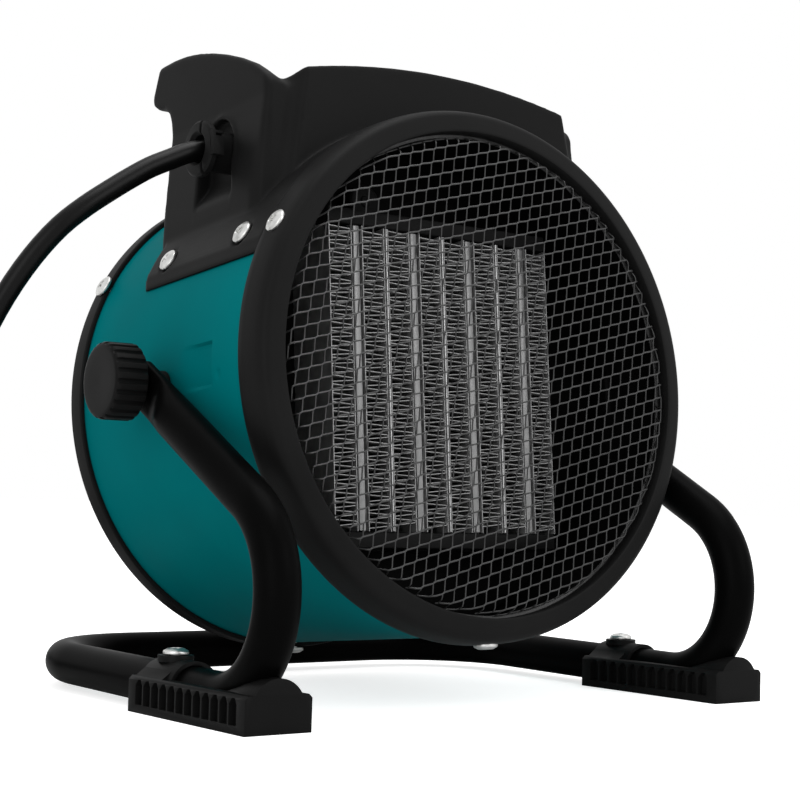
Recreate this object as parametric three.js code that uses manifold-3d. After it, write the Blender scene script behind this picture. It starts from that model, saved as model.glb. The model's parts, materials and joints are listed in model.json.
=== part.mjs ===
// Ceramic fan heater: a round steel drum with a plastic top housing, tilting in a bent tube stand.
// Millimetres, +Z up, the front faces -Y. The origin is on the floor, under the middle of the stand.
import * as THREE from 'three';
import { mergeVertices } from 'three/addons/utils/BufferGeometryUtils.js';
import Module from 'manifold-3d';

const wasm = await Module();
wasm.setup();

// Counts of flat sides
const RING_SIDES = 40;
const DISC_SIDES = 20;
const ROD_SIDES = 16;
const SCREW_SIDES = 8;
const TUBE_SIDES = 12;

// Clearances
const GAP = 0.3;
const OVERRUN = 4;
const WELD_TOLERANCE = 1e-4;

// Pose of the drum at rest: its front looks up a little
const TILT = THREE.MathUtils.degToRad(5.33);

// Stand: one bent tube with flattened ends
const TUBE_RADIUS = 8;
const STAND_LENGTH = 206.3;
const FRONT_BEND_RADIUS = 35.5;
const REAR_CORNER_RADIUS = 48;
const SHOE_TUBE_HEIGHT = 12;
const UNDER_DRUM = 19.3;
const PIVOT_Y = 2.75;
const FLAT_THICKNESS = 5;
const FLAT_HALF_WIDTH = 10.6;
const FLAT_REACH = 13;
const FLAT_RAMP = 18;
const TIP_TURN_SHARE = 0.9;

// Drum and its two rings; Y runs from the back edge of the front ring to the rear
const DRUM_RADIUS = 99;
const DRUM_WALL = 1.2;
const DRUM_LENGTH = 139.5;
const DRUM_IN_RING = 9;
const FRONT_RING_LAP = 3.5;
const FRONT_RING_DEPTH = 16.2;
const OPENING_INSET = 6.6;
const REAR_RING_LAP = 2;
const REAR_RING_OVER_DRUM = 5.7;
const REAR_RING_DEPTH = 11;
const REAR_OPENING_INSET = 9;
const RING_LIP = 0.9;

// Where the pivot axis crosses the drum
const PIVOT_FROM_RING = 58;
const PIVOT_BELOW_AXIS = 1.5;

const drumBack = DRUM_LENGTH - DRUM_IN_RING;
const drumInner = DRUM_RADIUS - DRUM_WALL;
const frontRingRadius = DRUM_RADIUS + FRONT_RING_LAP;
const openingRadius = DRUM_RADIUS - OPENING_INSET;
const rearRingRadius = DRUM_RADIUS + REAR_RING_LAP;
const rearRingStart = drumBack - REAR_RING_OVER_DRUM;
const rearOpeningRadius = DRUM_RADIUS - REAR_OPENING_INSET;
const pivotHeight = DRUM_RADIUS + UNDER_DRUM;

// Front net
const NET_THICKNESS = 0.8;
const NET_PITCH = 15;
const NET_ROW = 17;
const NET_STRAND = 1.5;
const NET_LEAN = 3.4;
const NET_RISE = 3.8;
const NET_RIM = 2.4;
const NET_BEHIND_RING = 0.6;
const NET_INSIDE_RING = 0.9;
const NET_SKIRT = 1.2;

// Heating element: PTC bars, corrugated fins and contact strips, side by side
const ELEMENT_FRONT = 12;
const ELEMENT_DEPTH = 25;
const ELEMENT_CORNER_CLEAR = 13.3;
const FIN_WIDTH = 10.4;
const FIN_FOLDS = 9;
const FIN_SLICE = 1.7;
const BAR_WIDTH = 4.2;
const STRIP_WIDTH = 1;
const BRACKET_HEIGHT = 6;
const BAFFLE_SHEET = 1.2;
const BAFFLE_RIM = 5;
const BAFFLE_LAP = 1.6;

// Fan and motor
const HUB_RADIUS = 17;
const HUB_LENGTH = 17;
const BLADE_COUNT = 5;
const BLADE_CLEAR = 12.8;
const BLADE_THICKNESS = 1.6;
const BLADE_PITCH = THREE.MathUtils.degToRad(27);
const TIP_CHORD = 44;
const SHAFT_RADIUS = 3;
const MOTOR_RADIUS = 28;
const MOTOR_BEHIND_FAN = 4;
const FAN_ROOM_SHARE = 0.47;
const MOTOR_LENGTH = 34;
const ARM_WIDTH = 12;
const FOOT_WIDTH = 18;
const ARM_SHEET = 2.5;
const ARM_COUNT = 3;

// Rear grille
const GRILLE_SHEET = 1.5;
const GRILLE_RIB = 3.2;
const GRILLE_HUB = 22;
const SLOT_RINGS = 4;
const SLOT_MARGIN = 5.8;
const SLOT_WEB = 3.4;
const INNER_SLOTS = 6;
const MORE_SLOTS = 3;

// Top housing
const HOUSING_WALL = 2.5;
const HUMP_FRONT = 17;
const HUMP_BACK = 92;
const HUMP_RISE = 36.6;
const HUMP_STAND_OFF = 1.28;
const SHOULDER_INSET = 5.5;
const LIP_DEPTH = 7.6;
const SADDLE_TOP_ANGLE = THREE.MathUtils.degToRad(34.64);
const SADDLE_EDGE_ANGLE = THREE.MathUtils.degToRad(26.6);
const SADDLE_FOOT_ANGLE = THREE.MathUtils.degToRad(21.87);
const SADDLE_FRONT = 0.6;
const SADDLE_INSET = 4.5;
const SADDLE_BAND = 2.6;
const BLOCK_FRONT = 12.6;
const BLOCK_BACK = 40;
const BLOCK_INSET = 20;
const BLOCK_CORNER_RISE = 18.5;
const BLOCK_CREST_RISE = 25.4;
const CORNER_ROUND = 8;

// Finger pocket under the lip of the housing
const POCKET_HALF_WIDTH = 27;
const POCKET_FLOOR_RISE = 8;
const POCKET_HEIGHT = 18;
const POCKET_DEPTH = 40;

// Rear control panel
const PANEL_INSET = 11.5;
const PANEL_SHEET = 2.4;
const PANEL_TOP_RISE = 14.6;
const PANEL_BOTTOM_DROP = 20;
const PANEL_OVER_DRUM = 4;
const DIAL_FROM_POCKET = 22;
const DIAL_RADIUS = 10.5;
const DIAL_MARGIN = 1.6;
const DIAL_DEPTH = 11;
const DIAL_SHAFT_RADIUS = 3;
const SHAFT_HOLE_RADIUS = 4;
const SWITCH_WIDTH = 18;
const SWITCH_HEIGHT = 17;
const SWITCH_DEPTH = 20;
const SWITCH_CLEAR = 3.2;
const LENS_RADIUS = 2.6;
const LENS_FLANGE = 1.5;
const LENS_FROM_POCKET = 6.6;
const LENS_RISE = 5;

// Cable gland in the left wall, and the cord
const GLAND_Y = 48;
const GLAND_OVER_DRUM = 2.85;
const GLAND_STAND_OUT = 5.5;
const GLAND_HEAD_RADIUS = 11.2;
const GLAND_HEAD_DEPTH = 8;
const GLAND_BODY_RADIUS = 8;
const GLAND_LENGTH = 26;
const GLAND_EDGE = 1;
const GLAND_TIP_RADIUS = 6;
const MOUTH_RADIUS = 6.6;
const MOUTH_DEPTH = 5;
const RECESS_DEPTH = 5.3;
const RECESS_RADIUS = 16.4;
const RECESS_DROP = 19;
const CORD_RADIUS = 4;
const CORD_SIDES = 10;
const CORD_LIFT = 0.3;
const COIL_RADIUS = 42.5;
const COIL_TURNS = 4 + 8 / 24;
const COIL_STEPS = 24;
const COIL_SIDES = 6;
const COIL_START_ANGLE = THREE.MathUtils.degToRad(210);
const TURN_PITCH = 8.7;
const TAIL_RISE_LENGTH = 24;

// Plug
const PLUG_RADIUS = 18.5;
const PLUG_GRIP_RADIUS = 11;
const SLEEVE_RADIUS = 5.6;
const SLEEVE_LENGTH = 20;
const GRIP_LENGTH = 15;
const RIM_LENGTH = 11;
const PIN_RADIUS = 2.4;
const PIN_LENGTH = 19;
const PIN_SPACING = 19;

// Clamp knobs and the pieces that their studs pass through
const KNOB_RADIUS = 14.4;
const KNOB_LENGTH = 13;
const KNOB_RIBS = 22;
const KNOB_RIB_HEIGHT = 0.9;
const KNOB_CHAMFER = 1.4;
const STUD_RADIUS = 3;
const STUD_PAST_PLATE = 3.2;
const WASHER_RADIUS = 9;
const WASHER_LENGTH = 6.3;
const NUT_PLATE_SIZE = 26;
const NUT_PLATE_SHEET = 3.2;

// Screws
const SCREW_HEAD_RADIUS = 4.2;
const SCREW_HEAD_HEIGHT = 2.3;
const SCREW_SHANK_RADIUS = 1.9;
const SCREW_LENGTH = 6.4;

// Shoes
const SHOE_WIDTH = 24.8;
const SHOE_SET_BACK = 5.45;
const SHOE_LENGTH = 76.6;
const SHOE_SHOULDER = 10.6;
const SHOE_DOME_RADIUS = 10.4;
const SHOE_DOME_TOP = 18.2;
const SHOE_DOME_LENGTH = 26;
const STRAP_LENGTH = 24;
const STRAP_WALL = 2;
const SHOE_SCREW_INSET = 9.7;
const BOSS_RADIUS = 5.6;
const SLOT_COUNT = 12;
const SHOE_SLOT_WIDTH = 3.9;
const SHOE_SLOT_PITCH = 5.75;
const SHOE_SLOT_DEPTH = 2.4;
const SHOE_SLOT_BOTTOM = 3.4;
const SHOE_SLOT_TOP = 10;

// Sizes and places that follow from the drum's radius
const humpTop = DRUM_RADIUS + HUMP_RISE;
const humpHalfWidth = (DRUM_RADIUS + HUMP_STAND_OFF) * Math.cos(SADDLE_TOP_ANGLE);
const saddleTop = (DRUM_RADIUS + HUMP_STAND_OFF) * Math.sin(SADDLE_TOP_ANGLE);
const shoulderHalfWidth = humpHalfWidth - SHOULDER_INSET;
const lipBack = HUMP_BACK + LIP_DEPTH;
const saddleBack = HUMP_BACK - SADDLE_INSET;
const saddleEdge = (DRUM_RADIUS + SADDLE_BAND) * Math.sin(SADDLE_EDGE_ANGLE);
const saddleFoot = (DRUM_RADIUS + GAP) * Math.sin(SADDLE_FOOT_ANGLE);
const blockHalfWidth = humpHalfWidth - BLOCK_INSET;
const blockCornerZ = DRUM_RADIUS + BLOCK_CORNER_RISE;
const blockCrestZ = DRUM_RADIUS + BLOCK_CREST_RISE;
const pocketFloor = DRUM_RADIUS + POCKET_FLOOR_RISE;
const panelHalfWidth = humpHalfWidth - PANEL_INSET;
const panelTop = DRUM_RADIUS + PANEL_TOP_RISE;
const panelBottom = DRUM_RADIUS - PANEL_BOTTOM_DROP;
const dialSpread = POCKET_HALF_WIDTH + DIAL_FROM_POCKET;
const dialHeight = panelTop - DIAL_RADIUS - DIAL_MARGIN;
const lensX = POCKET_HALF_WIDTH + LENS_FROM_POCKET;
const lensZ = DRUM_RADIUS + LENS_RISE;
const recessX = humpHalfWidth - RECESS_DEPTH;
const glandFaceX = humpHalfWidth + GLAND_STAND_OUT;
const glandTipX = glandFaceX - GLAND_LENGTH;
const glandZ = GLAND_BODY_RADIUS + Math.sqrt((DRUM_RADIUS + GLAND_OVER_DRUM) ** 2 - glandTipX ** 2);

// Places that follow from the pieces between drum and tube
const tubeSpread = DRUM_RADIUS + GAP + WASHER_LENGTH + GAP + FLAT_THICKNESS / 2;
const shoeFront = STAND_LENGTH / 2 - SHOE_SET_BACK;
const shoeBack = SHOE_LENGTH - shoeFront;
const shoeScrewY = shoeBack - SHOE_SCREW_INSET;

// Materials
const finish = (color, roughness, metalness = 0) => () =>
  new THREE.MeshStandardMaterial({ color, roughness, metalness });
const blackPlastic = finish(0x252525, 0.55);
const blackPaint = finish(0x161616, 0.35, 0.3);
const tealPaint = finish(0x006468, 0.4, 0.2);
const darkSteel = finish(0x3c3c3c, 0.5, 0.7);
const zinc = finish(0xc8c8c8, 0.3, 1);
const aluminium = finish(0x9a9a9a, 0.35, 1);
const rubber = finish(0x101010, 0.6);
const amber = finish(0xd26a1e, 0.25);

// Solids

// Welds a geometry into one closed solid with its faces out.
function solid(geometry) {
  const bare = new THREE.BufferGeometry();
  bare.setAttribute('position', geometry.getAttribute('position'));
  if (geometry.index) bare.setIndex(geometry.index);
  const welded = mergeVertices(bare, WELD_TOLERANCE);
  const index = welded.index.array;
  const kept = [];
  for (let i = 0; i < index.length; i += 3) {
    const [a, b, c] = [index[i], index[i + 1], index[i + 2]];
    if (a !== b && b !== c && c !== a) kept.push(a, b, c);
  }
  const make = (corners) =>
    new wasm.Manifold(
      new wasm.Mesh({
        numProp: 3,
        vertProperties: new Float32Array(welded.attributes.position.array),
        triVerts: new Uint32Array(corners),
      }),
    );
  const made = make(kept);
  if (made.volume() >= 0) return made;
  const turned = [];
  for (let i = 0; i < kept.length; i += 3) turned.push(kept[i], kept[i + 2], kept[i + 1]);
  return make(turned);
}

function geometryOf(made) {
  const mesh = made.getMesh();
  const geometry = new THREE.BufferGeometry();
  geometry.setAttribute('position', new THREE.BufferAttribute(new Float32Array(mesh.vertProperties), 3));
  geometry.setIndex(new THREE.BufferAttribute(new Uint32Array(mesh.triVerts), 1));
  geometry.computeVertexNormals();
  return geometry;
}

function piece(parent, name, made, material) {
  const mesh = new THREE.Mesh(geometryOf(made), material());
  mesh.name = name;
  parent.add(mesh);
  return mesh;
}

const cut = (from, ...tools) => tools.reduce((left, tool) => left.subtract(tool), from);
const join = (first, ...others) => others.reduce((sum, other) => sum.add(other), first);

// Box between two corners
function box(low, high) {
  const size = high.map((value, axis) => value - low[axis]);
  const middle = high.map((value, axis) => (value + low[axis]) / 2);
  return solid(new THREE.BoxGeometry(...size).translate(...middle));
}

const AXES = {
  x: new THREE.Vector3(1, 0, 0),
  y: new THREE.Vector3(0, 1, 0),
  z: new THREE.Vector3(0, 0, 1),
};

// Rod between two places along one axis; the other two coordinates come in the order of x, y, z
function rod(axis, from, to, across, radius, sides = ROD_SIDES) {
  const geometry = new THREE.CylinderGeometry(radius, radius, to - from, sides);
  const turn = new THREE.Quaternion().setFromUnitVectors(AXES.y, AXES[axis]);
  geometry.applyQuaternion(turn);
  const place = [...across];
  place.splice('xyz'.indexOf(axis), 0, (from + to) / 2);
  return solid(geometry.translate(...place));
}

// Outline pushed along one axis; the outline's two coordinates come in the order of x, y, z
function prism(axis, outline, from, to) {
  const shape = new THREE.Shape(outline.map(([a, b]) => new THREE.Vector2(a, b)));
  const geometry = new THREE.ExtrudeGeometry(shape, { depth: to - from, bevelEnabled: false });
  const [first, second] = ['x', 'y', 'z'].filter((name) => name !== axis);
  geometry.applyMatrix4(new THREE.Matrix4().makeBasis(AXES[first], AXES[second], AXES[axis]));
  geometry.translate(...AXES[axis].clone().multiplyScalar(from).toArray());
  return solid(geometry);
}

// Profile of [radius, y] turned about the drum's axis
function turned(profile, sides = RING_SIDES) {
  const points = profile.map(([radius, y]) => new THREE.Vector2(radius, y));
  points.push(points[0].clone());
  return solid(new THREE.LatheGeometry(points, sides));
}

// Profile of [radius, x] turned about an axis along X, through y and z
function turnedAlongX(profile, y, z, sides = ROD_SIDES) {
  const points = profile.map(([radius, x]) => new THREE.Vector2(radius, x));
  const geometry = new THREE.LatheGeometry(points, sides);
  geometry.rotateZ(-Math.PI / 2);
  return solid(geometry.translate(0, y, z));
}

// Skin over rings of points with the same count, closed by a fan at each end
function loft(rings) {
  const count = rings[0].length;
  const position = rings.flat().flatMap((point) => point.toArray());
  const index = [];
  for (let ring = 0; ring + 1 < rings.length; ring++) {
    for (let i = 0; i < count; i++) {
      const a = ring * count + i;
      const b = ring * count + ((i + 1) % count);
      index.push(a, b, a + count, b, b + count, a + count);
    }
  }
  const last = (rings.length - 1) * count;
  for (let i = 1; i + 1 < count; i++) {
    index.push(0, i + 1, i);
    index.push(last, last + i, last + i + 1);
  }
  const geometry = new THREE.BufferGeometry();
  geometry.setAttribute('position', new THREE.Float32BufferAttribute(position, 3));
  geometry.setIndex(index);
  return solid(geometry);
}

// Curve through given stations, which an extrusion steps along one by one
class Route extends THREE.Curve {
  constructor(points) {
    super();
    this.points = points;
  }
  getPoint(t) {
    const place = t * (this.points.length - 1);
    const before = Math.min(Math.floor(place + WELD_TOLERANCE), this.points.length - 2);
    return this.points[before].clone().lerp(this.points[before + 1], place - before);
  }
  getPointAt(u) {
    return this.getPoint(u);
  }
  getTangent(t) {
    const here = Math.round(t * (this.points.length - 1));
    const before = this.points[Math.max(here - 1, 0)];
    const after = this.points[Math.min(here + 1, this.points.length - 1)];
    return after.clone().sub(before).normalize();
  }
  getTangentAt(u) {
    return this.getTangent(u);
  }
}

function tubeAlong(points, radius, sides) {
  const section = new THREE.Shape();
  for (let i = 0; i < sides; i++) {
    const angle = (i / sides) * 2 * Math.PI;
    if (i === 0) section.moveTo(radius, 0);
    else section.lineTo(radius * Math.cos(angle), radius * Math.sin(angle));
  }
  const settings = { steps: points.length - 1, extrudePath: new Route(points), bevelEnabled: false };
  return solid(new THREE.ExtrudeGeometry(section, settings));
}

// Groups: the stand stays on the floor, the heater tilts about the pivot
const model = new THREE.Group();
const stand = new THREE.Group();
const tilting = new THREE.Group();
tilting.position.set(0, PIVOT_Y, pivotHeight);
tilting.rotation.x = -TILT;
const heater = new THREE.Group();
heater.position.set(0, -PIVOT_FROM_RING, PIVOT_BELOW_AXIS);
tilting.add(heater);
model.add(stand, tilting);

// Screws

function screwSolid() {
  const profile = [
    [0, -SCREW_LENGTH],
    [SCREW_SHANK_RADIUS, -SCREW_LENGTH],
    [SCREW_SHANK_RADIUS, 0],
    [SCREW_HEAD_RADIUS, 0],
    [SCREW_HEAD_RADIUS, SCREW_HEAD_HEIGHT / 2],
    [SCREW_HEAD_RADIUS / 2, SCREW_HEAD_HEIGHT],
    [0, SCREW_HEAD_HEIGHT],
  ];
  return solid(new THREE.LatheGeometry(profile.map(([r, y]) => new THREE.Vector2(r, y)), SCREW_SIDES));
}

// Screw whose head sits on a drum radius, at an angle from +X towards +Z
function radialScrew(name, radius, angle, y) {
  const screw = piece(heater, name, screwSolid(), zinc);
  screw.position.set(radius * Math.cos(angle), y, radius * Math.sin(angle));
  screw.rotation.z = -Math.PI / 2;
  const turn = new THREE.Matrix4().makeRotationY(-angle);
  screw.quaternion.premultiply(new THREE.Quaternion().setFromRotationMatrix(turn));
}

function radialHole(radius, angle, y) {
  const length = 2 * SCREW_LENGTH;
  const bore = SCREW_SHANK_RADIUS + GAP;
  const geometry = new THREE.CylinderGeometry(bore, bore, length, SCREW_SIDES);
  geometry.rotateZ(-Math.PI / 2);
  geometry.translate(radius, 0, 0);
  geometry.rotateY(-angle);
  return solid(geometry.translate(0, y, 0));
}

const SCREW_ANGLE = THREE.MathUtils.degToRad(29);
const ringAngles = {
  left: Math.PI - SCREW_ANGLE,
  right: SCREW_ANGLE,
  bottom: -Math.PI / 2,
};
const FRONT_SCREW_Y = -4.6;
const REAR_SCREW_Y = rearRingStart + SCREW_SHANK_RADIUS + GAP;
const HOUSING_SCREW_ANGLE = THREE.MathUtils.degToRad(29.8);
const HOUSING_SCREW_RADIUS = DRUM_RADIUS + SADDLE_BAND + GAP;
const HOUSING_SCREW_INSETS = [19.9, 11.9];
const housingScrewYs = [SADDLE_FRONT + HOUSING_SCREW_INSETS[0], saddleBack - HOUSING_SCREW_INSETS[1]];
const housingScrews = [];
for (const [side, angle] of [['left', Math.PI - HOUSING_SCREW_ANGLE], ['right', HOUSING_SCREW_ANGLE]]) {
  housingScrewYs.forEach((y, row) => housingScrews.push({ side, angle, y, row: ['front', 'rear'][row] }));
}

// Drum and rings

function drumShell() {
  const wall = turned([
    [drumInner, -DRUM_IN_RING],
    [DRUM_RADIUS, -DRUM_IN_RING],
    [DRUM_RADIUS, drumBack],
    [drumInner, drumBack],
  ]);
  const holes = [];
  for (const angle of Object.values(ringAngles)) {
    holes.push(radialHole(DRUM_RADIUS, angle, FRONT_SCREW_Y), radialHole(DRUM_RADIUS, angle, REAR_SCREW_Y));
  }
  for (const { angle, y } of housingScrews) holes.push(radialHole(DRUM_RADIUS, angle, y));
  const span = DRUM_RADIUS + OVERRUN;
  holes.push(rod('x', -span, span, [PIVOT_FROM_RING, -PIVOT_BELOW_AXIS], STUD_RADIUS + GAP));
  return cut(wall, ...holes);
}

const frontSeat = DRUM_IN_RING + GAP;
const netBack = frontSeat;
const netFront = netBack + NET_THICKNESS;
const ringBore = DRUM_RADIUS + GAP;

function frontRing() {
  const outer = frontRingRadius;
  const faceShares = [
    [0, 0],
    [0, 0.2],
    [0.08, 0.56],
    [0.22, 0.78],
    [0.44, 0.94],
    [0.7, 1],
  ];
  const round = outer - openingRadius;
  const body = turned([
    [ringBore, 0],
    ...faceShares.map(([inwards, forwards]) => [outer - inwards * round, -forwards * FRONT_RING_DEPTH]),
    [openingRadius + RING_LIP, -FRONT_RING_DEPTH],
    [openingRadius, -FRONT_RING_DEPTH + RING_LIP],
    [openingRadius, -netFront - GAP],
    [ringBore, -netFront - GAP],
  ]);
  return cut(body, ...Object.values(ringAngles).map((angle) => radialHole(outer, angle, FRONT_SCREW_Y)));
}

const grilleFront = drumBack + GAP;
const grilleBack = grilleFront + GRILLE_SHEET;

function rearRing() {
  const outer = rearRingRadius;
  const back = rearRingStart + REAR_RING_DEPTH;
  const body = turned([
    [ringBore, rearRingStart],
    [outer, rearRingStart],
    [outer, back - 3 * RING_LIP],
    [outer - 3 * RING_LIP, back],
    [rearOpeningRadius + RING_LIP, back],
    [rearOpeningRadius, back - RING_LIP],
    [rearOpeningRadius, grilleBack + GAP],
    [ringBore, grilleBack + GAP],
  ]);
  return cut(body, ...Object.values(ringAngles).map((angle) => radialHole(outer, angle, REAR_SCREW_Y)));
}

// Net of leaning cells: a shallow pan with one slanted hole for each cell, held at its flange
function frontNet() {
  const radius = openingRadius - NET_INSIDE_RING;
  const faceFront = -FRONT_RING_DEPTH + NET_BEHIND_RING;
  const faceBack = faceFront + NET_THICKNESS;
  const disc = rod('y', faceFront, faceBack, [0, 0], radius, RING_SIDES);
  const flangeRadius = ringBore - 2 * GAP;
  const skirt = turned([
    [radius - NET_SKIRT, -netBack],
    [flangeRadius, -netBack],
    [flangeRadius, -netFront],
    [radius, -netFront],
    [radius, faceFront],
    [radius - NET_SKIRT, faceFront],
  ]);
  const reach = Math.ceil(radius / NET_PITCH) + 1;
  const halfWidth = (NET_PITCH - NET_STRAND) / 2;
  const halfHeight = (NET_ROW - NET_STRAND) / 2;
  const cells = [];
  for (let row = -reach; row <= reach; row++) {
    for (let column = -reach; column <= reach; column++) {
      const x = column * NET_PITCH + row * NET_LEAN;
      const z = row * NET_ROW + column * NET_RISE;
      if (Math.hypot(x, z) > radius) continue;
      const corner = (right, up) => [
        x + right * halfWidth + (up * halfHeight * NET_LEAN) / NET_ROW,
        z + up * halfHeight + (right * halfWidth * NET_RISE) / NET_PITCH,
      ];
      const outline = [corner(-1, -1), corner(1, -1), corner(1, 1), corner(-1, 1)];
      cells.push(prism('y', outline, faceFront - OVERRUN, faceBack + OVERRUN));
    }
  }
  const inside = rod('y', faceFront - OVERRUN, faceBack + OVERRUN, [0, 0], radius - NET_RIM, RING_SIDES);
  const holes = wasm.Manifold.union(cells).intersect(inside);
  return disc.add(skirt).subtract(holes);
}

// Steel disc with rings of slots between straight ribs
function rearGrille() {
  const slotsRoom = rearOpeningRadius - SLOT_MARGIN - GRILLE_HUB - (SLOT_RINGS - 1) * SLOT_WEB;
  const slotHeight = slotsRoom / SLOT_RINGS;
  const plate = rod('y', grilleFront, grilleBack, [0, 0], ringBore - 2 * GAP, RING_SIDES);
  const slots = [];
  for (let ring = 0; ring < SLOT_RINGS; ring++) {
    const inner = GRILLE_HUB + ring * (slotHeight + SLOT_WEB);
    const outer = inner + slotHeight;
    const count = INNER_SLOTS + MORE_SLOTS * ring;
    for (let slot = 0; slot < count; slot++) {
      const middle = (slot / count) * 2 * Math.PI;
      const half = Math.PI / count;
      const trim = GRILLE_RIB / 2;
      const place = (radius, share) => {
        const angle = middle + share * (half - trim / radius);
        return [radius * Math.cos(angle), radius * Math.sin(angle)];
      };
      const outline = [
        place(inner, -1),
        place(inner, 1),
        place(outer, 1),
        place(outer, -1),
      ];
      slots.push(prism('y', outline, grilleFront - OVERRUN, grilleBack + OVERRUN));
    }
  }
  return plate.subtract(wasm.Manifold.union(slots));
}

piece(heater, 'drum_shell', drumShell(), tealPaint);
piece(heater, 'front_ring', frontRing(), blackPlastic);
piece(heater, 'rear_ring', rearRing(), blackPlastic);
piece(heater, 'front_net', frontNet(), darkSteel);
piece(heater, 'rear_grille', rearGrille(), darkSteel);
for (const [side, angle] of Object.entries(ringAngles)) {
  radialScrew(`front_ring_screw_${side}`, frontRingRadius + GAP, angle, FRONT_SCREW_Y);
  radialScrew(`rear_ring_screw_${side}`, rearRingRadius + GAP, angle, REAR_SCREW_Y);
}
for (const { side, row, angle, y } of housingScrews) {
  radialScrew(`housing_screw_${side}_${row}`, HOUSING_SCREW_RADIUS + GAP, angle, y);
}

// Heating element

const elementBack = ELEMENT_FRONT + ELEMENT_DEPTH;
const stack = ['fin', 'bar', 'fin', 'strip', 'fin', 'bar', 'fin', 'strip', 'fin', 'bar', 'fin', 'strip',
  'fin', 'bar', 'fin'];
const widths = { fin: FIN_WIDTH, bar: BAR_WIDTH, strip: STRIP_WIDTH };
const stackWidth = stack.reduce((sum, kind) => sum + widths[kind], 0) + (stack.length - 1) * GAP;
const cornerRadius = drumInner - ELEMENT_CORNER_CLEAR;
const elementHalf = Math.sqrt(cornerRadius ** 2 - (stackWidth / 2) ** 2) - BRACKET_HEIGHT - GAP;

// Sheet folded to and fro between two sides
function corrugatedFin(left, right) {
  const rings = [];
  for (let fold = 0; fold <= 2 * FIN_FOLDS; fold++) {
    const x = fold % 2 === 0 ? left : right - FIN_SLICE;
    const z = -elementHalf + (fold / FIN_FOLDS) * elementHalf;
    const corners = [
      [x, ELEMENT_FRONT],
      [x + FIN_SLICE, ELEMENT_FRONT],
      [x + FIN_SLICE, elementBack],
      [x, elementBack],
    ];
    rings.push(corners.map(([across, along]) => new THREE.Vector3(across, along, z)));
  }
  return loft(rings);
}

let stackEdge = -stackWidth / 2;
const stackCount = { fin: 0, bar: 0, strip: 0 };
for (const kind of stack) {
  const next = stackEdge + widths[kind];
  stackCount[kind]++;
  const count = stackCount[kind];
  if (kind === 'fin') {
    piece(heater, `fin_column_${count}`, corrugatedFin(stackEdge, next), aluminium);
  } else {
    const body = box([stackEdge, ELEMENT_FRONT, -elementHalf], [next, elementBack, elementHalf]);
    piece(heater, kind === 'bar' ? `ptc_bar_${count}` : `contact_strip_${count}`, body, aluminium);
  }
  stackEdge = next + GAP;
}

// Channel that holds the ends of the stack and is fixed to the baffle
function elementBracket(up) {
  const near = up * (elementHalf + GAP);
  const far = up * (elementHalf + GAP + BRACKET_HEIGHT);
  const half = stackWidth / 2;
  return box([-half, ELEMENT_FRONT, Math.min(near, far)], [half, elementBack, Math.max(near, far)]);
}

const baffleFront = elementBack + GAP;
const baffleBack = baffleFront + BAFFLE_SHEET;

function bafflePlate() {
  const radius = drumInner - GAP;
  const body = turned([
    [0, baffleFront],
    [radius, baffleFront],
    [radius, baffleBack + BAFFLE_RIM],
    [radius - BAFFLE_SHEET, baffleBack + BAFFLE_RIM],
    [radius - BAFFLE_SHEET, baffleBack],
    [0, baffleBack],
  ]);
  const halfWidth = stackWidth / 2 - BAFFLE_LAP;
  const halfHeight = elementHalf - BAFFLE_LAP;
  const low = [-halfWidth, baffleFront - OVERRUN, -halfHeight];
  const high = [halfWidth, baffleBack + OVERRUN, halfHeight];
  return cut(body, box(low, high));
}

piece(heater, 'element_top_bracket', elementBracket(1), blackPaint);
piece(heater, 'element_bottom_bracket', elementBracket(-1), blackPaint);
piece(heater, 'baffle_plate', bafflePlate(), blackPaint);

const CUTOUT_RADIUS = 7;
const CUTOUT_DEPTH = 9;
const CUTOUT_X = -26;
const cutoutZ = elementHalf + BRACKET_HEIGHT + CUTOUT_RADIUS + 3 * GAP;
const cutout = rod('y', elementBack - CUTOUT_DEPTH, elementBack, [CUTOUT_X, cutoutZ], CUTOUT_RADIUS);
piece(heater, 'thermal_cutout', cutout, blackPlastic);

// Fan, motor and the arms that carry the motor, in the room between the baffle and the rear grille

const fanRoomStart = baffleBack + BAFFLE_RIM;
const fanStackLength = HUB_LENGTH + MOTOR_BEHIND_FAN + MOTOR_LENGTH + GAP + 2 * ARM_SHEET;
const fanStart = fanRoomStart + FAN_ROOM_SHARE * (grilleFront - fanRoomStart - fanStackLength);
const motorStart = fanStart + HUB_LENGTH + MOTOR_BEHIND_FAN;
const bladeTipRadius = drumInner - BLADE_CLEAR;

function fanBlade(turn) {
  const rootChord = HUB_LENGTH - 2 * BLADE_THICKNESS;
  const middleY = fanStart + HUB_LENGTH / 2;
  const ends = [
    { radius: HUB_RADIUS - BLADE_THICKNESS, chord: rootChord },
    { radius: bladeTipRadius, chord: TIP_CHORD },
  ];
  const rings = ends.map(({ radius, chord }) => {
    const across = (chord / 2) * Math.cos(BLADE_PITCH);
    const along = (chord / 2) * Math.sin(BLADE_PITCH);
    const thick = BLADE_THICKNESS / 2;
    const corners = [
      [-across, -along - thick],
      [across, along - thick],
      [across, along + thick],
      [-across, -along + thick],
    ];
    return corners.map(([x, y]) => new THREE.Vector3(x, middleY + y, radius).applyAxisAngle(AXES.y, turn));
  });
  return loft(rings);
}

function fanRotor() {
  const hub = rod('y', fanStart, fanStart + HUB_LENGTH, [0, 0], HUB_RADIUS);
  const blades = [];
  for (let i = 0; i < BLADE_COUNT; i++) blades.push(fanBlade((i / BLADE_COUNT) * 2 * Math.PI));
  const bore = rod('y', fanStart - OVERRUN, fanStart + HUB_LENGTH + OVERRUN, [0, 0], SHAFT_RADIUS + GAP);
  return cut(join(hub, ...blades), bore);
}

const motorBack = motorStart + MOTOR_LENGTH;

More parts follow.
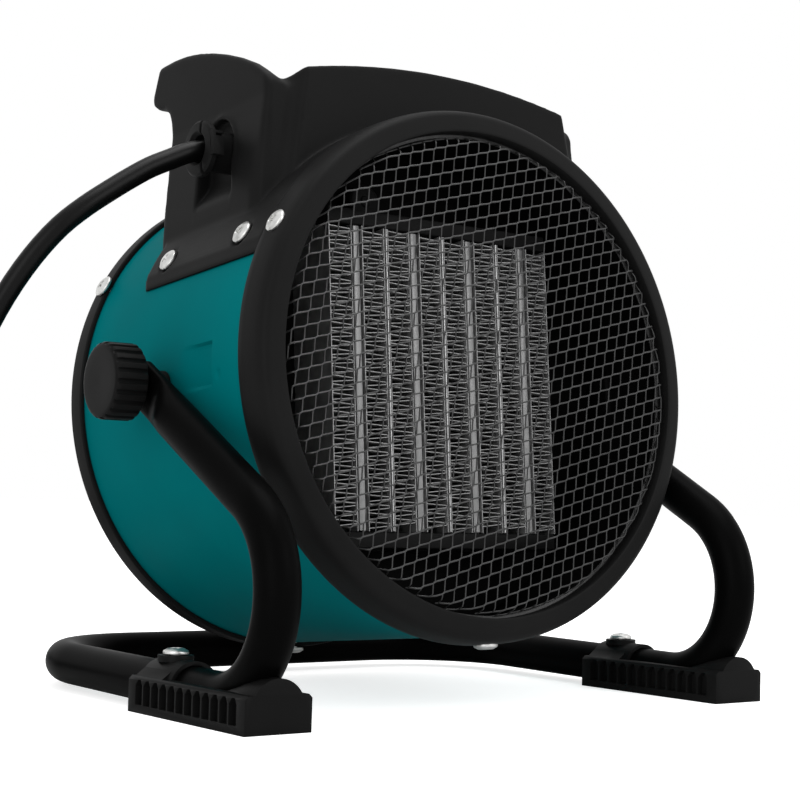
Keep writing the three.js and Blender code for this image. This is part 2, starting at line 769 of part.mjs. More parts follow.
function fanMotor() {
  const can = turned([
    [0, motorStart],
    [MOTOR_RADIUS / 2, motorStart],
    [MOTOR_RADIUS / 2, motorStart + SHAFT_RADIUS],
    [MOTOR_RADIUS, motorStart + 2 * SHAFT_RADIUS],
    [MOTOR_RADIUS, motorBack],
    [0, motorBack],
  ], DISC_SIDES);
  return join(can, rod('y', fanStart - SHAFT_RADIUS, motorStart + OVERRUN, [0, 0], SHAFT_RADIUS));
}

function motorBracket() {
  const front = motorBack + GAP;
  const back = front + 2 * ARM_SHEET;
  const radius = drumInner - GAP;
  let spider = rod('y', front, back, [0, 0], MOTOR_RADIUS - ARM_SHEET, DISC_SIDES);
  for (let i = 0; i < ARM_COUNT; i++) {
    const turn = (i / ARM_COUNT) * 2 * Math.PI;
    const arm = new THREE.BoxGeometry(ARM_WIDTH, ARM_SHEET, radius);
    arm.translate(0, (front + back) / 2, radius / 2).rotateY(turn);
    const foot = new THREE.BoxGeometry(FOOT_WIDTH, ARM_WIDTH, ARM_SHEET);
    foot.translate(0, (front + back) / 2, radius - 1.5 * ARM_SHEET).rotateY(turn);
    spider = join(spider, solid(arm), solid(foot));
  }
  const inside = rod('y', front - ARM_WIDTH, back + ARM_WIDTH, [0, 0], radius, RING_SIDES);
  return spider.intersect(inside);
}

piece(heater, 'fan_rotor', fanRotor(), blackPlastic);
piece(heater, 'fan_motor', fanMotor(), zinc);
piece(heater, 'motor_bracket', motorBracket(), zinc);

// Top housing

const mirrored = (right) => [...right, ...right.map(([x, z]) => [-x, z]).reverse()];

// Side view of the hump as shares of its length and of its height above the drum's axis
const humpSideShares = [
  [0, 0.25], [0, 0.72], [0.03, 0.8], [0.08, 0.855], [0.19, 0.892], [0.32, 0.924], [0.47, 0.956],
  [0.59, 0.975], [0.73, 0.988], [0.89, 0.999], [0.98, 1],
];

function humpSolid(inset) {
  const length = HUMP_BACK - HUMP_FRONT;
  const back = inset > 0 ? HUMP_BACK - inset : HUMP_BACK;
  const side = humpSideShares.map(([along, up]) => [
    Math.min(HUMP_FRONT + along * length + inset, back),
    up * humpTop - (up > 0.25 ? inset : 0),
  ]);
  const lipDrop = humpTop / 50;
  if (inset > 0) {
    side.push([back, humpTop - inset]);
  } else {
    side.push([lipBack - 2 * lipDrop, humpTop - lipDrop / 5]);
    side.push([lipBack - lipDrop, humpTop - lipDrop]);
    side.push([lipBack, humpTop - 4 * lipDrop]);
    side.push([lipBack - lipDrop / 4, humpTop - 5 * lipDrop]);
    side.push([HUMP_BACK, pocketFloor + 4 * lipDrop]);
  }
  side.push([back, 0.25 * humpTop]);
  const sideSolid = prism('x', side, -humpHalfWidth - OVERRUN, humpHalfWidth + OVERRUN);
  const shoulder = shoulderHalfWidth - inset;
  const crown = humpTop - inset;
  const front = mirrored([
    [humpHalfWidth - inset, 0],
    [humpHalfWidth - inset, saddleTop],
    [shoulder, (saddleTop + humpTop) / 2 + CORNER_ROUND],
    [shoulder, crown - CORNER_ROUND],
    [shoulder - 0.3 * CORNER_ROUND, crown - 0.3 * CORNER_ROUND],
    [shoulder - CORNER_ROUND, crown],
  ]);
  const frontSolid = prism('y', front, -OVERRUN, lipBack + OVERRUN);
  const edge = humpHalfWidth - inset;
  const start = HUMP_FRONT + inset;
  const plan = [
    [edge - CORNER_ROUND, start],
    [edge - 0.3 * CORNER_ROUND, start + 0.3 * CORNER_ROUND],
    [edge, start + CORNER_ROUND],
    [edge, lipBack + OVERRUN],
  ];
  const planSolid = prism('z', mirrored(plan), 0, humpTop + OVERRUN);
  return sideSolid.intersect(frontSolid).intersect(planSolid);
}

// Front wall of the housing: an arched block, wider and lower towards its foot and its back
function blockSolid(inset) {
  const archSteps = 8;
  const ring = (y, widen) => {
    const half = blockHalfWidth + widen - inset;
    const foot = half + (blockCornerZ - saddleTop) / 7;
    const points = [new THREE.Vector3(-foot, y, saddleTop), new THREE.Vector3(foot, y, saddleTop)];
    const arch = blockCrestZ - blockCornerZ;
    for (let i = 0; i <= archSteps; i++) {
      const share = 1 - (2 * i) / archSteps;
      const z = blockCrestZ - inset - arch * share * share;
      points.push(new THREE.Vector3(share * half, y, z));
    }
    return points;
  };
  const widen = 0.6 * CORNER_ROUND;
  const start = BLOCK_FRONT + inset;
  return loft([ring(start, 0), ring(start + 1.2 * CORNER_ROUND, widen), ring(BLOCK_BACK, widen)]);
}

function saddleSolid() {
  const band = turned([
    [DRUM_RADIUS, SADDLE_FRONT],
    [DRUM_RADIUS + SADDLE_BAND, SADDLE_FRONT],
    [DRUM_RADIUS + SADDLE_BAND, saddleBack],
    [DRUM_RADIUS, saddleBack],
  ]);
  const reach = frontRingRadius + OVERRUN;
  const above = box([-reach, SADDLE_FRONT - OVERRUN, saddleEdge], [reach, saddleBack + OVERRUN, reach]);
  const edgeX = Math.sqrt((DRUM_RADIUS + SADDLE_BAND) ** 2 - saddleEdge ** 2);
  const footX = Math.sqrt((DRUM_RADIUS + GAP) ** 2 - saddleFoot ** 2);
  const skirt = (side) =>
    prism('y', [
      [side * footX, saddleFoot],
      [side * edgeX, saddleEdge],
      [side * humpHalfWidth, saddleTop],
      [side * (humpHalfWidth - CORNER_ROUND), saddleTop],
      [side * (humpHalfWidth - CORNER_ROUND), saddleFoot],
    ], SADDLE_FRONT, saddleBack);
  return join(band.intersect(above), skirt(-1), skirt(1));
}

const pocketLow = [-POCKET_HALF_WIDTH, HUMP_BACK - POCKET_DEPTH, pocketFloor];
const pocketHigh = [POCKET_HALF_WIDTH, lipBack + OVERRUN, pocketFloor + POCKET_HEIGHT];

function topHousing() {
  const outer = join(humpSolid(0), blockSolid(0), saddleSolid());
  const wall = HOUSING_WALL;
  const pocketCase = box(
    pocketLow.map((value) => value - wall),
    pocketHigh.map((value) => value + wall),
  );
  const pad = box(
    [-recessX - wall, GLAND_Y - RECESS_RADIUS - wall, glandZ - RECESS_DROP - wall],
    [-recessX + 2 * wall, GLAND_Y + RECESS_RADIUS + wall, glandZ + RECESS_RADIUS + wall],
  );
  const hollow = cut(join(humpSolid(wall), blockSolid(wall)), pocketCase, pad);
  const drum = rod('y', -OVERRUN, lipBack + OVERRUN, [0, 0], DRUM_RADIUS + GAP, RING_SIDES);
  const recessOut = humpHalfWidth + OVERRUN;
  const recess = join(
    rod('x', -recessOut, -recessX, [GLAND_Y, glandZ], RECESS_RADIUS, DISC_SIDES),
    box(
      [-recessOut, GLAND_Y - RECESS_RADIUS, glandZ - RECESS_DROP],
      [-recessX, GLAND_Y + RECESS_RADIUS, glandZ],
    ),
  );
  const glandHole = rod('x', -recessOut, -recessX + OVERRUN * 2, [GLAND_Y, glandZ], GLAND_BODY_RADIUS + GAP);
  const switchHoles = [-1, 1].map((side) =>
    rod('y', HUMP_BACK - 2 * OVERRUN, HUMP_BACK + OVERRUN, [side * dialSpread, dialHeight], SHAFT_HOLE_RADIUS),
  );
  const lensHole = rod('y', HUMP_BACK - OVERRUN, HUMP_BACK + OVERRUN, [lensX, lensZ], LENS_RADIUS + GAP,
    SCREW_SIDES);
  const holes = housingScrews.map(({ angle, y }) => radialHole(DRUM_RADIUS, angle, y));
  return cut(outer, hollow, drum, box(pocketLow, pocketHigh), recess, glandHole, lensHole, ...switchHoles, ...holes);
}

piece(heater, 'top_housing', topHousing(), blackPlastic);

// Control panel with its switches and dials

const panelFront = HUMP_BACK + GAP;
const panelBack = panelFront + PANEL_SHEET;

function controlPanel() {
  const plate = box([-panelHalfWidth, panelFront, panelBottom], [panelHalfWidth, panelBack, panelTop]);
  const underDrum = rod('y', panelFront - OVERRUN, panelBack + OVERRUN, [0, 0],
    DRUM_RADIUS + PANEL_OVER_DRUM, RING_SIDES);
  const shafts = [-1, 1].map((side) =>
    rod('y', panelFront - OVERRUN, panelBack + OVERRUN, [side * dialSpread, dialHeight], SHAFT_HOLE_RADIUS),
  );
  const lens = rod('y', panelFront - OVERRUN, panelBack + OVERRUN, [lensX, lensZ], LENS_RADIUS + GAP, SCREW_SIDES);
  return cut(plate, underDrum, box(pocketLow, pocketHigh), lens, ...shafts);
}

const switchBack = HUMP_BACK - HOUSING_WALL - GAP;
const switchFront = switchBack - SWITCH_DEPTH;

// Switch body in the housing, with the socket that the dial's shaft turns in
function switchBody(side) {
  const x = side * dialSpread;
  const low = dialHeight - SWITCH_HEIGHT / 2 + SWITCH_CLEAR;
  const body = box(
    [x - SWITCH_WIDTH / 2, switchFront, low],
    [x + SWITCH_WIDTH / 2, switchBack, low + SWITCH_HEIGHT],
  );
  const socket = rod('y', switchBack - SWITCH_DEPTH / 2, switchBack + OVERRUN, [x, dialHeight],
    DIAL_SHAFT_RADIUS + GAP);
  return cut(body, socket);
}

// Dial with a flat pointer bar across its face and a shaft into the switch
function dial(side) {
  const x = side * dialSpread;
  const front = panelBack + GAP;
  const back = front + DIAL_DEPTH;
  const base = rod('y', front, front + DIAL_DEPTH / 4, [x, dialHeight], DIAL_RADIUS, DISC_SIDES);
  const bar = box(
    [x - DIAL_RADIUS / 4, front, dialHeight - 0.9 * DIAL_RADIUS],
    [x + DIAL_RADIUS / 4, back, dialHeight + 0.9 * DIAL_RADIUS],
  );
  const grip = rod('y', front, back - DIAL_DEPTH / 5, [x, dialHeight], 0.7 * DIAL_RADIUS, DISC_SIDES);
  const shaft = rod('y', switchBack - SWITCH_DEPTH / 2 + GAP, front + GAP, [x, dialHeight], DIAL_SHAFT_RADIUS);
  return join(base, bar, grip, shaft);
}

piece(heater, 'control_panel', controlPanel(), blackPlastic);
piece(heater, 'thermostat', switchBody(1), blackPlastic);
piece(heater, 'mode_switch', switchBody(-1), blackPlastic);
piece(heater, 'thermostat_dial', dial(1), blackPlastic);
piece(heater, 'mode_dial', dial(-1), blackPlastic);

function indicatorLens() {
  const flangeFront = panelBack + GAP;
  const flangeBack = flangeFront + LENS_FLANGE;
  const stemFront = HUMP_BACK - HOUSING_WALL - OVERRUN;
  const stem = rod('y', stemFront, flangeBack, [lensX, lensZ], LENS_RADIUS, SCREW_SIDES);
  const flange = rod('y', flangeFront, flangeBack, [lensX, lensZ], 1.3 * LENS_RADIUS, SCREW_SIDES);
  return join(stem, flange);
}

piece(heater, 'indicator_lens', indicatorLens(), amber);

const BLOCK_SIZE = [36, 15, 11];
const TERMINAL_Y = 36;
const terminalFloor = DRUM_RADIUS + GAP;
const terminal = box(
  [-BLOCK_SIZE[0] / 2, TERMINAL_Y - BLOCK_SIZE[1] / 2, terminalFloor],
  [BLOCK_SIZE[0] / 2, TERMINAL_Y + BLOCK_SIZE[1] / 2, terminalFloor + BLOCK_SIZE[2]],
);
piece(heater, 'terminal_block', terminal, finish(0xd8d4c8, 0.6));

// Cable gland: a round head in the recess, and a tapering body inside

const glandFace = -glandFaceX;
const mouthFloor = glandFace + MOUTH_DEPTH;

const gland = turnedAlongX([
  [0, mouthFloor],
  [MOUTH_RADIUS, mouthFloor],
  [MOUTH_RADIUS, glandFace],
  [GLAND_HEAD_RADIUS - GLAND_EDGE, glandFace],
  [GLAND_HEAD_RADIUS, glandFace + GLAND_EDGE],
  [GLAND_HEAD_RADIUS, glandFace + GLAND_HEAD_DEPTH],
  [GLAND_BODY_RADIUS, glandFace + GLAND_HEAD_DEPTH],
  [GLAND_BODY_RADIUS, 2 * HOUSING_WALL - recessX],
  [GLAND_TIP_RADIUS, glandFace + GLAND_LENGTH],
  [0, glandFace + GLAND_LENGTH],
], GLAND_Y, glandZ);
piece(heater, 'cable_gland', gland, blackPlastic);

// Clamp knobs, washers and nut plates at the pivot

const flatOuter = tubeSpread + FLAT_THICKNESS / 2;
const flatInner = tubeSpread - FLAT_THICKNESS / 2;
const knobInner = flatOuter + GAP;
const collarDepth = 1.4;
const knobOuter = knobInner + collarDepth + KNOB_LENGTH;
const nutPlateOuter = Math.sqrt(drumInner ** 2 - (NUT_PLATE_SIZE / 2 + PIVOT_BELOW_AXIS) ** 2) - GAP;
const studEndX = nutPlateOuter - NUT_PLATE_SHEET - STUD_PAST_PLATE;

function clampKnob() {
  const ribbed = [];
  for (let i = 0; i < 2 * KNOB_RIBS; i++) {
    const angle = (i / (2 * KNOB_RIBS)) * 2 * Math.PI;
    const radius = KNOB_RADIUS - (i % 2) * KNOB_RIB_HEIGHT;
    ribbed.push([radius * Math.cos(angle), radius * Math.sin(angle)]);
  }
  const start = knobInner + collarDepth;
  const grip = prism('x', ribbed, start, knobOuter - KNOB_CHAMFER);
  const cap = rod('x', start + KNOB_CHAMFER, knobOuter, [0, 0], KNOB_RADIUS - KNOB_CHAMFER, KNOB_RIBS);
  const collar = rod('x', knobInner, start + KNOB_CHAMFER, [0, 0], WASHER_RADIUS);
  const stud = rod('x', studEndX, start + KNOB_CHAMFER, [0, 0], STUD_RADIUS);
  return join(grip, cap, collar, stud);
}

function pivotWasher() {
  const ring = rod('x', DRUM_RADIUS + GAP, DRUM_RADIUS + GAP + WASHER_LENGTH, [0, 0], WASHER_RADIUS);
  return cut(ring, rod('x', DRUM_RADIUS - OVERRUN, flatInner + OVERRUN, [0, 0], STUD_RADIUS + GAP));
}

function nutPlate() {
  const half = NUT_PLATE_SIZE / 2;
  const plate = box([nutPlateOuter - NUT_PLATE_SHEET, -half, -half], [nutPlateOuter, half, half]);
  return cut(plate, rod('x', studEndX, flatInner, [0, 0], STUD_RADIUS + GAP));
}

for (const [side, turn] of [['right', 0], ['left', Math.PI]]) {
  const makers = { knob: [clampKnob, blackPlastic], pivot_washer: [pivotWasher, blackPlastic], nut_plate: [nutPlate, zinc] };
  for (const [kind, [maker, material]] of Object.entries(makers)) {
    const mesh = piece(heater, `${side}_${kind}`, maker(), material);
    mesh.position.set(0, PIVOT_FROM_RING, -PIVOT_BELOW_AXIS);
    mesh.rotation.z = turn;
  }
}

// Stand tube

const bendFrontY = -STAND_LENGTH / 2 + TUBE_RADIUS;
const bendCentreY = bendFrontY + FRONT_BEND_RADIUS;
const bendCentreZ = SHOE_TUBE_HEIGHT + FRONT_BEND_RADIUS;
const rearBarY = STAND_LENGTH / 2 - TUBE_RADIUS;

// Angle, in the side view, of the point where the leg's straight part meets the front bend
const toPivotY = PIVOT_Y - bendCentreY;
const toPivotZ = pivotHeight - bendCentreZ;
const pivotDistance = Math.hypot(toPivotY, toPivotZ);
const tangentAngle = Math.atan2(toPivotZ, toPivotY) + Math.acos(FRONT_BEND_RADIUS / pivotDistance);
const tangentY = bendCentreY + FRONT_BEND_RADIUS * Math.cos(tangentAngle);
const tangentZ = bendCentreZ + FRONT_BEND_RADIUS * Math.sin(tangentAngle);
const legDirection = new THREE.Vector3(0, tangentY - PIVOT_Y, tangentZ - pivotHeight).normalize();
const pivotPoint = (side) => new THREE.Vector3(side * tubeSpread, PIVOT_Y, pivotHeight);

// Section of the tube, or of its flattened end, across a direction; out points away from the heater's middle
function tubeRing(centre, direction, out, radius, flat = 0) {
  const across = direction.clone().cross(out).normalize();
  const wide = radius + flat * (FLAT_HALF_WIDTH - TUBE_RADIUS);
  const thick = radius + flat * (FLAT_THICKNESS / 2 - TUBE_RADIUS);
  const ring = [];
  for (let i = 0; i < TUBE_SIDES; i++) {
    const angle = (i / TUBE_SIDES) * 2 * Math.PI;
    const squeeze = THREE.MathUtils.clamp(Math.sin(angle) * (1 + flat), -1, 1);
    ring.push(centre.clone()
      .addScaledVector(across, wide * Math.cos(angle))
      .addScaledVector(out, thick * squeeze));
  }
  return ring;
}

// End of the tube, pressed flat, with a round tip about the pivot
function endRings(side, radius) {
  const out = new THREE.Vector3(side, 0, 0);
  const rings = [];
  const tipSteps = 4;
  for (let i = 0; i < tipSteps; i++) {
    const angle = ((tipSteps - i) / tipSteps) * (Math.PI / 2) * TIP_TURN_SHARE;
    const centre = pivotPoint(side).addScaledVector(legDirection, -FLAT_HALF_WIDTH * Math.sin(angle));
    const ring = tubeRing(pivotPoint(side), legDirection, out, radius, 1);
    rings.push(ring.map((point) => {
      const offset = point.clone().sub(pivotPoint(side));
      const along = offset.x;
      return offset.multiplyScalar(Math.cos(angle)).setX(along).add(centre);
    }));
  }
  const stationShares = [
    { ramp: 0, flat: 1 },
    { ramp: 0.5, flat: 0.55 },
  ];
  rings.push(tubeRing(pivotPoint(side), legDirection, out, radius, 1));
  for (const { ramp, flat } of stationShares) {
    const centre = pivotPoint(side).addScaledVector(legDirection, FLAT_REACH + ramp * FLAT_RAMP);
    rings.push(tubeRing(centre, legDirection, out, radius, flat));
  }
  return rings;
}

// Rings of half the tube, from its flattened end to its rear corner
function halfRings(side, radius) {
  const out = new THREE.Vector3(side, 0, 0);
  const x = side * tubeSpread;
  const rings = endRings(side, radius);
  const roundStart = pivotPoint(side).addScaledVector(legDirection, FLAT_REACH + FLAT_RAMP);
  rings.push(tubeRing(roundStart, legDirection, out, radius));
  const bendSteps = 10;
  for (let i = 0; i <= bendSteps; i++) {
    const angle = tangentAngle + (i / bendSteps) * (1.5 * Math.PI - tangentAngle);
    const centre = new THREE.Vector3(
      x,
      bendCentreY + FRONT_BEND_RADIUS * Math.cos(angle),
      bendCentreZ + FRONT_BEND_RADIUS * Math.sin(angle),
    );
    rings.push(tubeRing(centre, new THREE.Vector3(0, -Math.sin(angle), Math.cos(angle)), out, radius));
  }
  const cornerSteps = 6;
  for (let i = 0; i <= cornerSteps; i++) {
    const angle = (i / cornerSteps) * (Math.PI / 2);
    const centre = new THREE.Vector3(
      side * (tubeSpread - REAR_CORNER_RADIUS * (1 - Math.cos(angle))),
      rearBarY - REAR_CORNER_RADIUS * (1 - Math.sin(angle)),
      TUBE_RADIUS,
    );
    const direction = new THREE.Vector3(-side * Math.sin(angle), Math.cos(angle), 0);
    const outward = new THREE.Vector3(side * Math.cos(angle), Math.sin(angle), 0);
    rings.push(tubeRing(centre, direction, outward, radius));
  }
  return rings;
}

// Whole tube; its rings turn the same way on both sides, so the right half is taken backwards and mirrored
function tubeSolid(radius) {
  const left = halfRings(-1, radius);
  const right = halfRings(1, radius).reverse().map((ring) => ring.map((_, i) => ring[(ring.length - i) % ring.length]));
  return loft([...left, ...right.map((ring) => ring.map((_, i) => ring[(i + TUBE_SIDES / 2) % TUBE_SIDES]))]);
}

const strapTop = (y) => {
  const share = (y - bendCentreY) / (rearBarY - REAR_CORNER_RADIUS - bendCentreY);
  return SHOE_TUBE_HEIGHT + share * (TUBE_RADIUS - SHOE_TUBE_HEIGHT) + TUBE_RADIUS + GAP + STRAP_WALL;
};
const bossTop = strapTop(shoeScrewY);

function standTube() {
  const screwHoles = [-1, 1].map((side) =>
    rod('z', bossTop - SCREW_LENGTH - GAP, bossTop + OVERRUN, [side * tubeSpread, shoeScrewY],
      SCREW_SHANK_RADIUS + GAP, SCREW_SIDES),
  );
  const reach = tubeSpread + FLAT_THICKNESS;
  const studHole = rod('x', -reach, reach, [PIVOT_Y, pivotHeight], STUD_RADIUS + GAP);
  return cut(tubeSolid(TUBE_RADIUS), studHole, ...screwHoles);
}

piece(stand, 'stand_tube', standTube(), blackPaint);

// Shoes under the front of the tube

const tubeClearance = tubeSolid(TUBE_RADIUS + GAP);

function shoe(side) {
  const x = side * tubeSpread;
  const half = SHOE_WIDTH / 2;
  const front = -shoeFront;
  const back = shoeBack;
  const base = box([x - half, front, 0], [x + half, back, SHOE_SHOULDER]);
  const domeZ = SHOE_DOME_TOP - SHOE_DOME_RADIUS;
  const dome = rod('y', front, front + SHOE_DOME_LENGTH, [x, domeZ], SHOE_DOME_RADIUS);
  const strapZ = bossTop - TUBE_RADIUS - GAP - STRAP_WALL;
  const strap = rod('y', back - STRAP_LENGTH, back, [x, strapZ], TUBE_RADIUS + GAP + STRAP_WALL);
  const boss = rod('z', SHOE_SHOULDER, bossTop + GAP, [x, shoeScrewY], BOSS_RADIUS);
  const above = box([x - half, front, 0], [x + half, back, bossTop + OVERRUN]);
  const hole = rod('z', SHOE_SHOULDER, bossTop + OVERRUN, [x, shoeScrewY], SCREW_SHANK_RADIUS + GAP, SCREW_SIDES);
  const slots = [];
  const slotsSpan = (SLOT_COUNT - 1) * SHOE_SLOT_PITCH + SHOE_SLOT_WIDTH;
  const firstSlot = front + (SHOE_LENGTH - slotsSpan) / 2;
  for (let i = 0; i < SLOT_COUNT; i++) {
    const start = firstSlot + i * SHOE_SLOT_PITCH;
    for (const outer of [-1, 1]) {
      const face = x + outer * half;
      slots.push(box(
        [face - SHOE_SLOT_DEPTH, start, SHOE_SLOT_BOTTOM],
        [face + SHOE_SLOT_DEPTH, start + SHOE_SLOT_WIDTH, SHOE_SLOT_TOP],
      ));
    }
  }
  const body = join(base, dome, strap, boss).intersect(above);
  return cut(body, tubeClearance, hole, wasm.Manifold.union(slots));
}

for (const [name, side] of [['left', -1], ['right', 1]]) {
  piece(stand, `${name}_shoe`, shoe(side), blackPlastic);
  const screw = piece(stand, `${name}_shoe_screw`, screwSolid(), zinc);
  screw.position.set(side * tubeSpread, shoeScrewY, bossTop + 2 * GAP);
  screw.rotation.x = Math.PI / 2;
}

// Cord: a hand-chosen route from the gland down to the floor, then a coil of the spare length

const leadPlaces = [
  [-83.4, 1.2, 209.4],
  [-86.5, 1.2, 209.1],
  [-90.5, 1.2, 208.1],
  [-95.5, 1.1, 206.2],
  [-101, 1.1, 203.5],
  [-109.5, 1, 199.2],
  [-117.6, 1, 194],
  [-125.7, 1, 188.3],
  [-135.3, 1.2, 181.1],
  [-144, 2.8, 173],
  [-152.5, 6.2, 161.5],
  [-160, 11.5, 147],
  [-166, 18, 130],
  [-170.5, 25, 111],
  [-174.5, 32.5, 91],
  [-178.5, 40.5, 71],
  [-183, 49.5, 52],
  [-188.5, 60, 35],
  [-195.5, 72, 21.5],
  [-204, 86, 11],
  [-213.3, 100.9, 5.5],
  [-218.9, 110.5, 4.35],
  [-222.9, 117.4, 4.3],
];
const leadPoints = leadPlaces.map(([x, y, z]) => new THREE.Vector3(x, y, z));
const leadEnd = leadPoints[leadPoints.length - 1];

// Plan directions at the start of the coil, which winds clockwise from above
const coilOut = new THREE.Vector3(Math.cos(COIL_START_ANGLE), Math.sin(COIL_START_ANGLE), 0);
const coilAlong = new THREE.Vector3(Math.sin(COIL_START_ANGLE), -Math.cos(COIL_START_ANGLE), 0);
const coilInner = COIL_RADIUS - (COIL_TURNS / 4) * TURN_PITCH;
const coilOuter = COIL_RADIUS + (COIL_TURNS / 4) * TURN_PITCH;
const straightEnd = 2 * CORD_RADIUS;
const coilCentre = leadEnd.clone()
  .addScaledVector(coilAlong, straightEnd + GAP)
  .addScaledVector(coilOut, -coilOuter);
const plugAxis = PLUG_RADIUS + CORD_LIFT;

// The turns spiral in on the floor, climb one layer where they are tightest, and spiral out again.
function coilPoints() {
  const points = [leadEnd.clone().addScaledVector(coilAlong, GAP)];
  const half = COIL_TURNS / 2;
  const steps = Math.round(COIL_TURNS * COIL_STEPS);
  for (let i = 0; i <= steps; i++) {
    const turns = i / COIL_STEPS;
    const angle = COIL_START_ANGLE - turns * 2 * Math.PI;
    const radius = coilInner + Math.abs(turns - half) * TURN_PITCH;
    const climb = THREE.MathUtils.smoothstep(turns, half - 1 / 4, half + 1 / 4);
    points.push(new THREE.Vector3(
      coilCentre.x + radius * Math.cos(angle),
      coilCentre.y + radius * Math.sin(angle),
      leadEnd.z + climb * TURN_PITCH,
    ));
  }
  return points;
}

// Straight piece out of the last turn, which rises to the plug's axis
function tailPoints(from) {
  const end = COIL_START_ANGLE - COIL_TURNS * 2 * Math.PI;
  const along = new THREE.Vector3(Math.sin(end), -Math.cos(end), 0);
  const points = [];
  const riseSteps = 4;
  for (let i = 0; i <= riseSteps; i++) {
    const share = i / riseSteps;
    const point = from.clone().addScaledVector(along, straightEnd + share * TAIL_RISE_LENGTH);
    point.z += (plugAxis - from.z) * THREE.MathUtils.smoothstep(share, 0, 1);
    points.push(point);
  }
  points.push(points[riseSteps].clone().addScaledVector(along, straightEnd));
  return { points, along };
}

// Least distance between the surfaces of turns that lie beside or on each other
function leastGap(points) {
  let least = Infinity;
  for (let i = 0; i < points.length; i++) {
    for (let j = i + COIL_STEPS / 2; j < points.length; j++) {
      least = Math.min(least, points[i].distanceTo(points[j]) - 2 * CORD_RADIUS);
    }
  }
  return least;
}

const turnPoints = coilPoints();
const tail = tailPoints(turnPoints[turnPoints.length - 1]);
const coilRoute = [...turnPoints, ...tail.points];
console.log(`cord coil: least gap to itself ${leastGap(coilRoute).toFixed(2)} mm`);

piece(stand, 'cord_lead', tubeAlong(leadPoints, CORD_RADIUS, CORD_SIDES), rubber);
piece(stand, 'cord_coil', tubeAlong(coilRoute, CORD_RADIUS, COIL_SIDES), rubber);

// Two-pin plug with a tapering sleeve, lying on its rim beside the coil
function plugSolid() {
  const body = turnedAlongX([
    [0, 0],
    [SLEEVE_RADIUS, 0],
    [SLEEVE_RADIUS * 1.2, SLEEVE_LENGTH],
    [PLUG_GRIP_RADIUS, SLEEVE_LENGTH + GRIP_LENGTH / 3],
    [PLUG_GRIP_RADIUS, SLEEVE_LENGTH + GRIP_LENGTH],
    [PLUG_RADIUS, SLEEVE_LENGTH + GRIP_LENGTH],
    [PLUG_RADIUS, SLEEVE_LENGTH + GRIP_LENGTH + RIM_LENGTH],
    [0, SLEEVE_LENGTH + GRIP_LENGTH + RIM_LENGTH],
  ], 0, 0);
  const face = SLEEVE_LENGTH + GRIP_LENGTH + RIM_LENGTH;
  const pins = [-1, 1].map((side) =>
    rod('x', face - OVERRUN, face + PIN_LENGTH, [(side * PIN_SPACING) / 2, 0], PIN_RADIUS, SCREW_SIDES),
  );
  return join(body, ...pins);
}

const plug = piece(stand, 'plug', plugSolid(), rubber);
plug.position.copy(tail.points[tail.points.length - 1]).addScaledVector(tail.along, GAP);
plug.rotation.z = Math.atan2(tail.along.y, tail.along.x);

export default model;
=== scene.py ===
"""Looks of the ceramic fan heater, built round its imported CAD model.

Points are written in millimetres and turned into metres when a mesh is made.
The drum frame has its axis along Y and y = 0 at the back edge of the front ring.
"""
import json
import math

import bmesh
import bpy
import numpy as np
from mathutils import Matrix, Vector


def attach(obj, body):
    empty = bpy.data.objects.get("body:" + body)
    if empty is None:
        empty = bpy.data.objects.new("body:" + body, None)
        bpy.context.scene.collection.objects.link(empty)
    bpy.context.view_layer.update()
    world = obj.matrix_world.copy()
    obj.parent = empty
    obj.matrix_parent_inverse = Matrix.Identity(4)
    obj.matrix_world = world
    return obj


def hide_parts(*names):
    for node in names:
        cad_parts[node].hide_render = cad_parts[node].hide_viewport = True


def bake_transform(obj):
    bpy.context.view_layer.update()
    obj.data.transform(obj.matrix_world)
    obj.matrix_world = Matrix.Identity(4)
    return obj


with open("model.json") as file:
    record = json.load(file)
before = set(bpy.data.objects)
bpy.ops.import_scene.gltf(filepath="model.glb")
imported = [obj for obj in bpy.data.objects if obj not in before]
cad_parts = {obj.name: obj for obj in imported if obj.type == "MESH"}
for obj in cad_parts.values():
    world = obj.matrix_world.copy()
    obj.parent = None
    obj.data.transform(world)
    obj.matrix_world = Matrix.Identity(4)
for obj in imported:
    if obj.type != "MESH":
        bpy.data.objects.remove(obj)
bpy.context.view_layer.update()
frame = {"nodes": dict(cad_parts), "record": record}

MM = 0.001
scene = bpy.context.scene

# Pose of the drum at rest
TILT = math.radians(5.33)
PIVOT = np.array([0.0, 2.75, 118.3])
PIVOT_IN_DRUM = np.array([0.0, 58.0, -1.5])


def drum_to_world(points):
    """Drum frame to shared frame, both in millimetres."""
    moved = np.asarray(points, float) - PIVOT_IN_DRUM
    cos, sin = math.cos(TILT), math.sin(TILT)
    x, y, z = moved[..., 0], moved[..., 1], moved[..., 2]
    return np.stack([x, y * cos + z * sin, z * cos - y * sin], axis=-1) + PIVOT


# The same as a matrix
DRUM_MATRIX = Matrix.Translation(Vector(PIVOT)) @ Matrix.Rotation(-TILT, 4, "X")
DRUM_MATRIX = DRUM_MATRIX @ Matrix.Translation(Vector(-PIVOT_IN_DRUM))


def add_object(name, data):
    obj = bpy.data.objects.new(name, data)
    scene.collection.objects.link(obj)
    return obj


# Camera, fitted to the photograph

IMAGE = 800
SENSOR = 36.0
FOCAL_PIXELS = 1766.1
CENTRE_X, CENTRE_Y = 466.07, 409.84
CAMERA_PLACE = (-420.8, -587.8, 75.4)
AZIMUTH, ELEVATION, ROLL = (math.radians(v) for v in (-38.293, -3.147, 1.504))


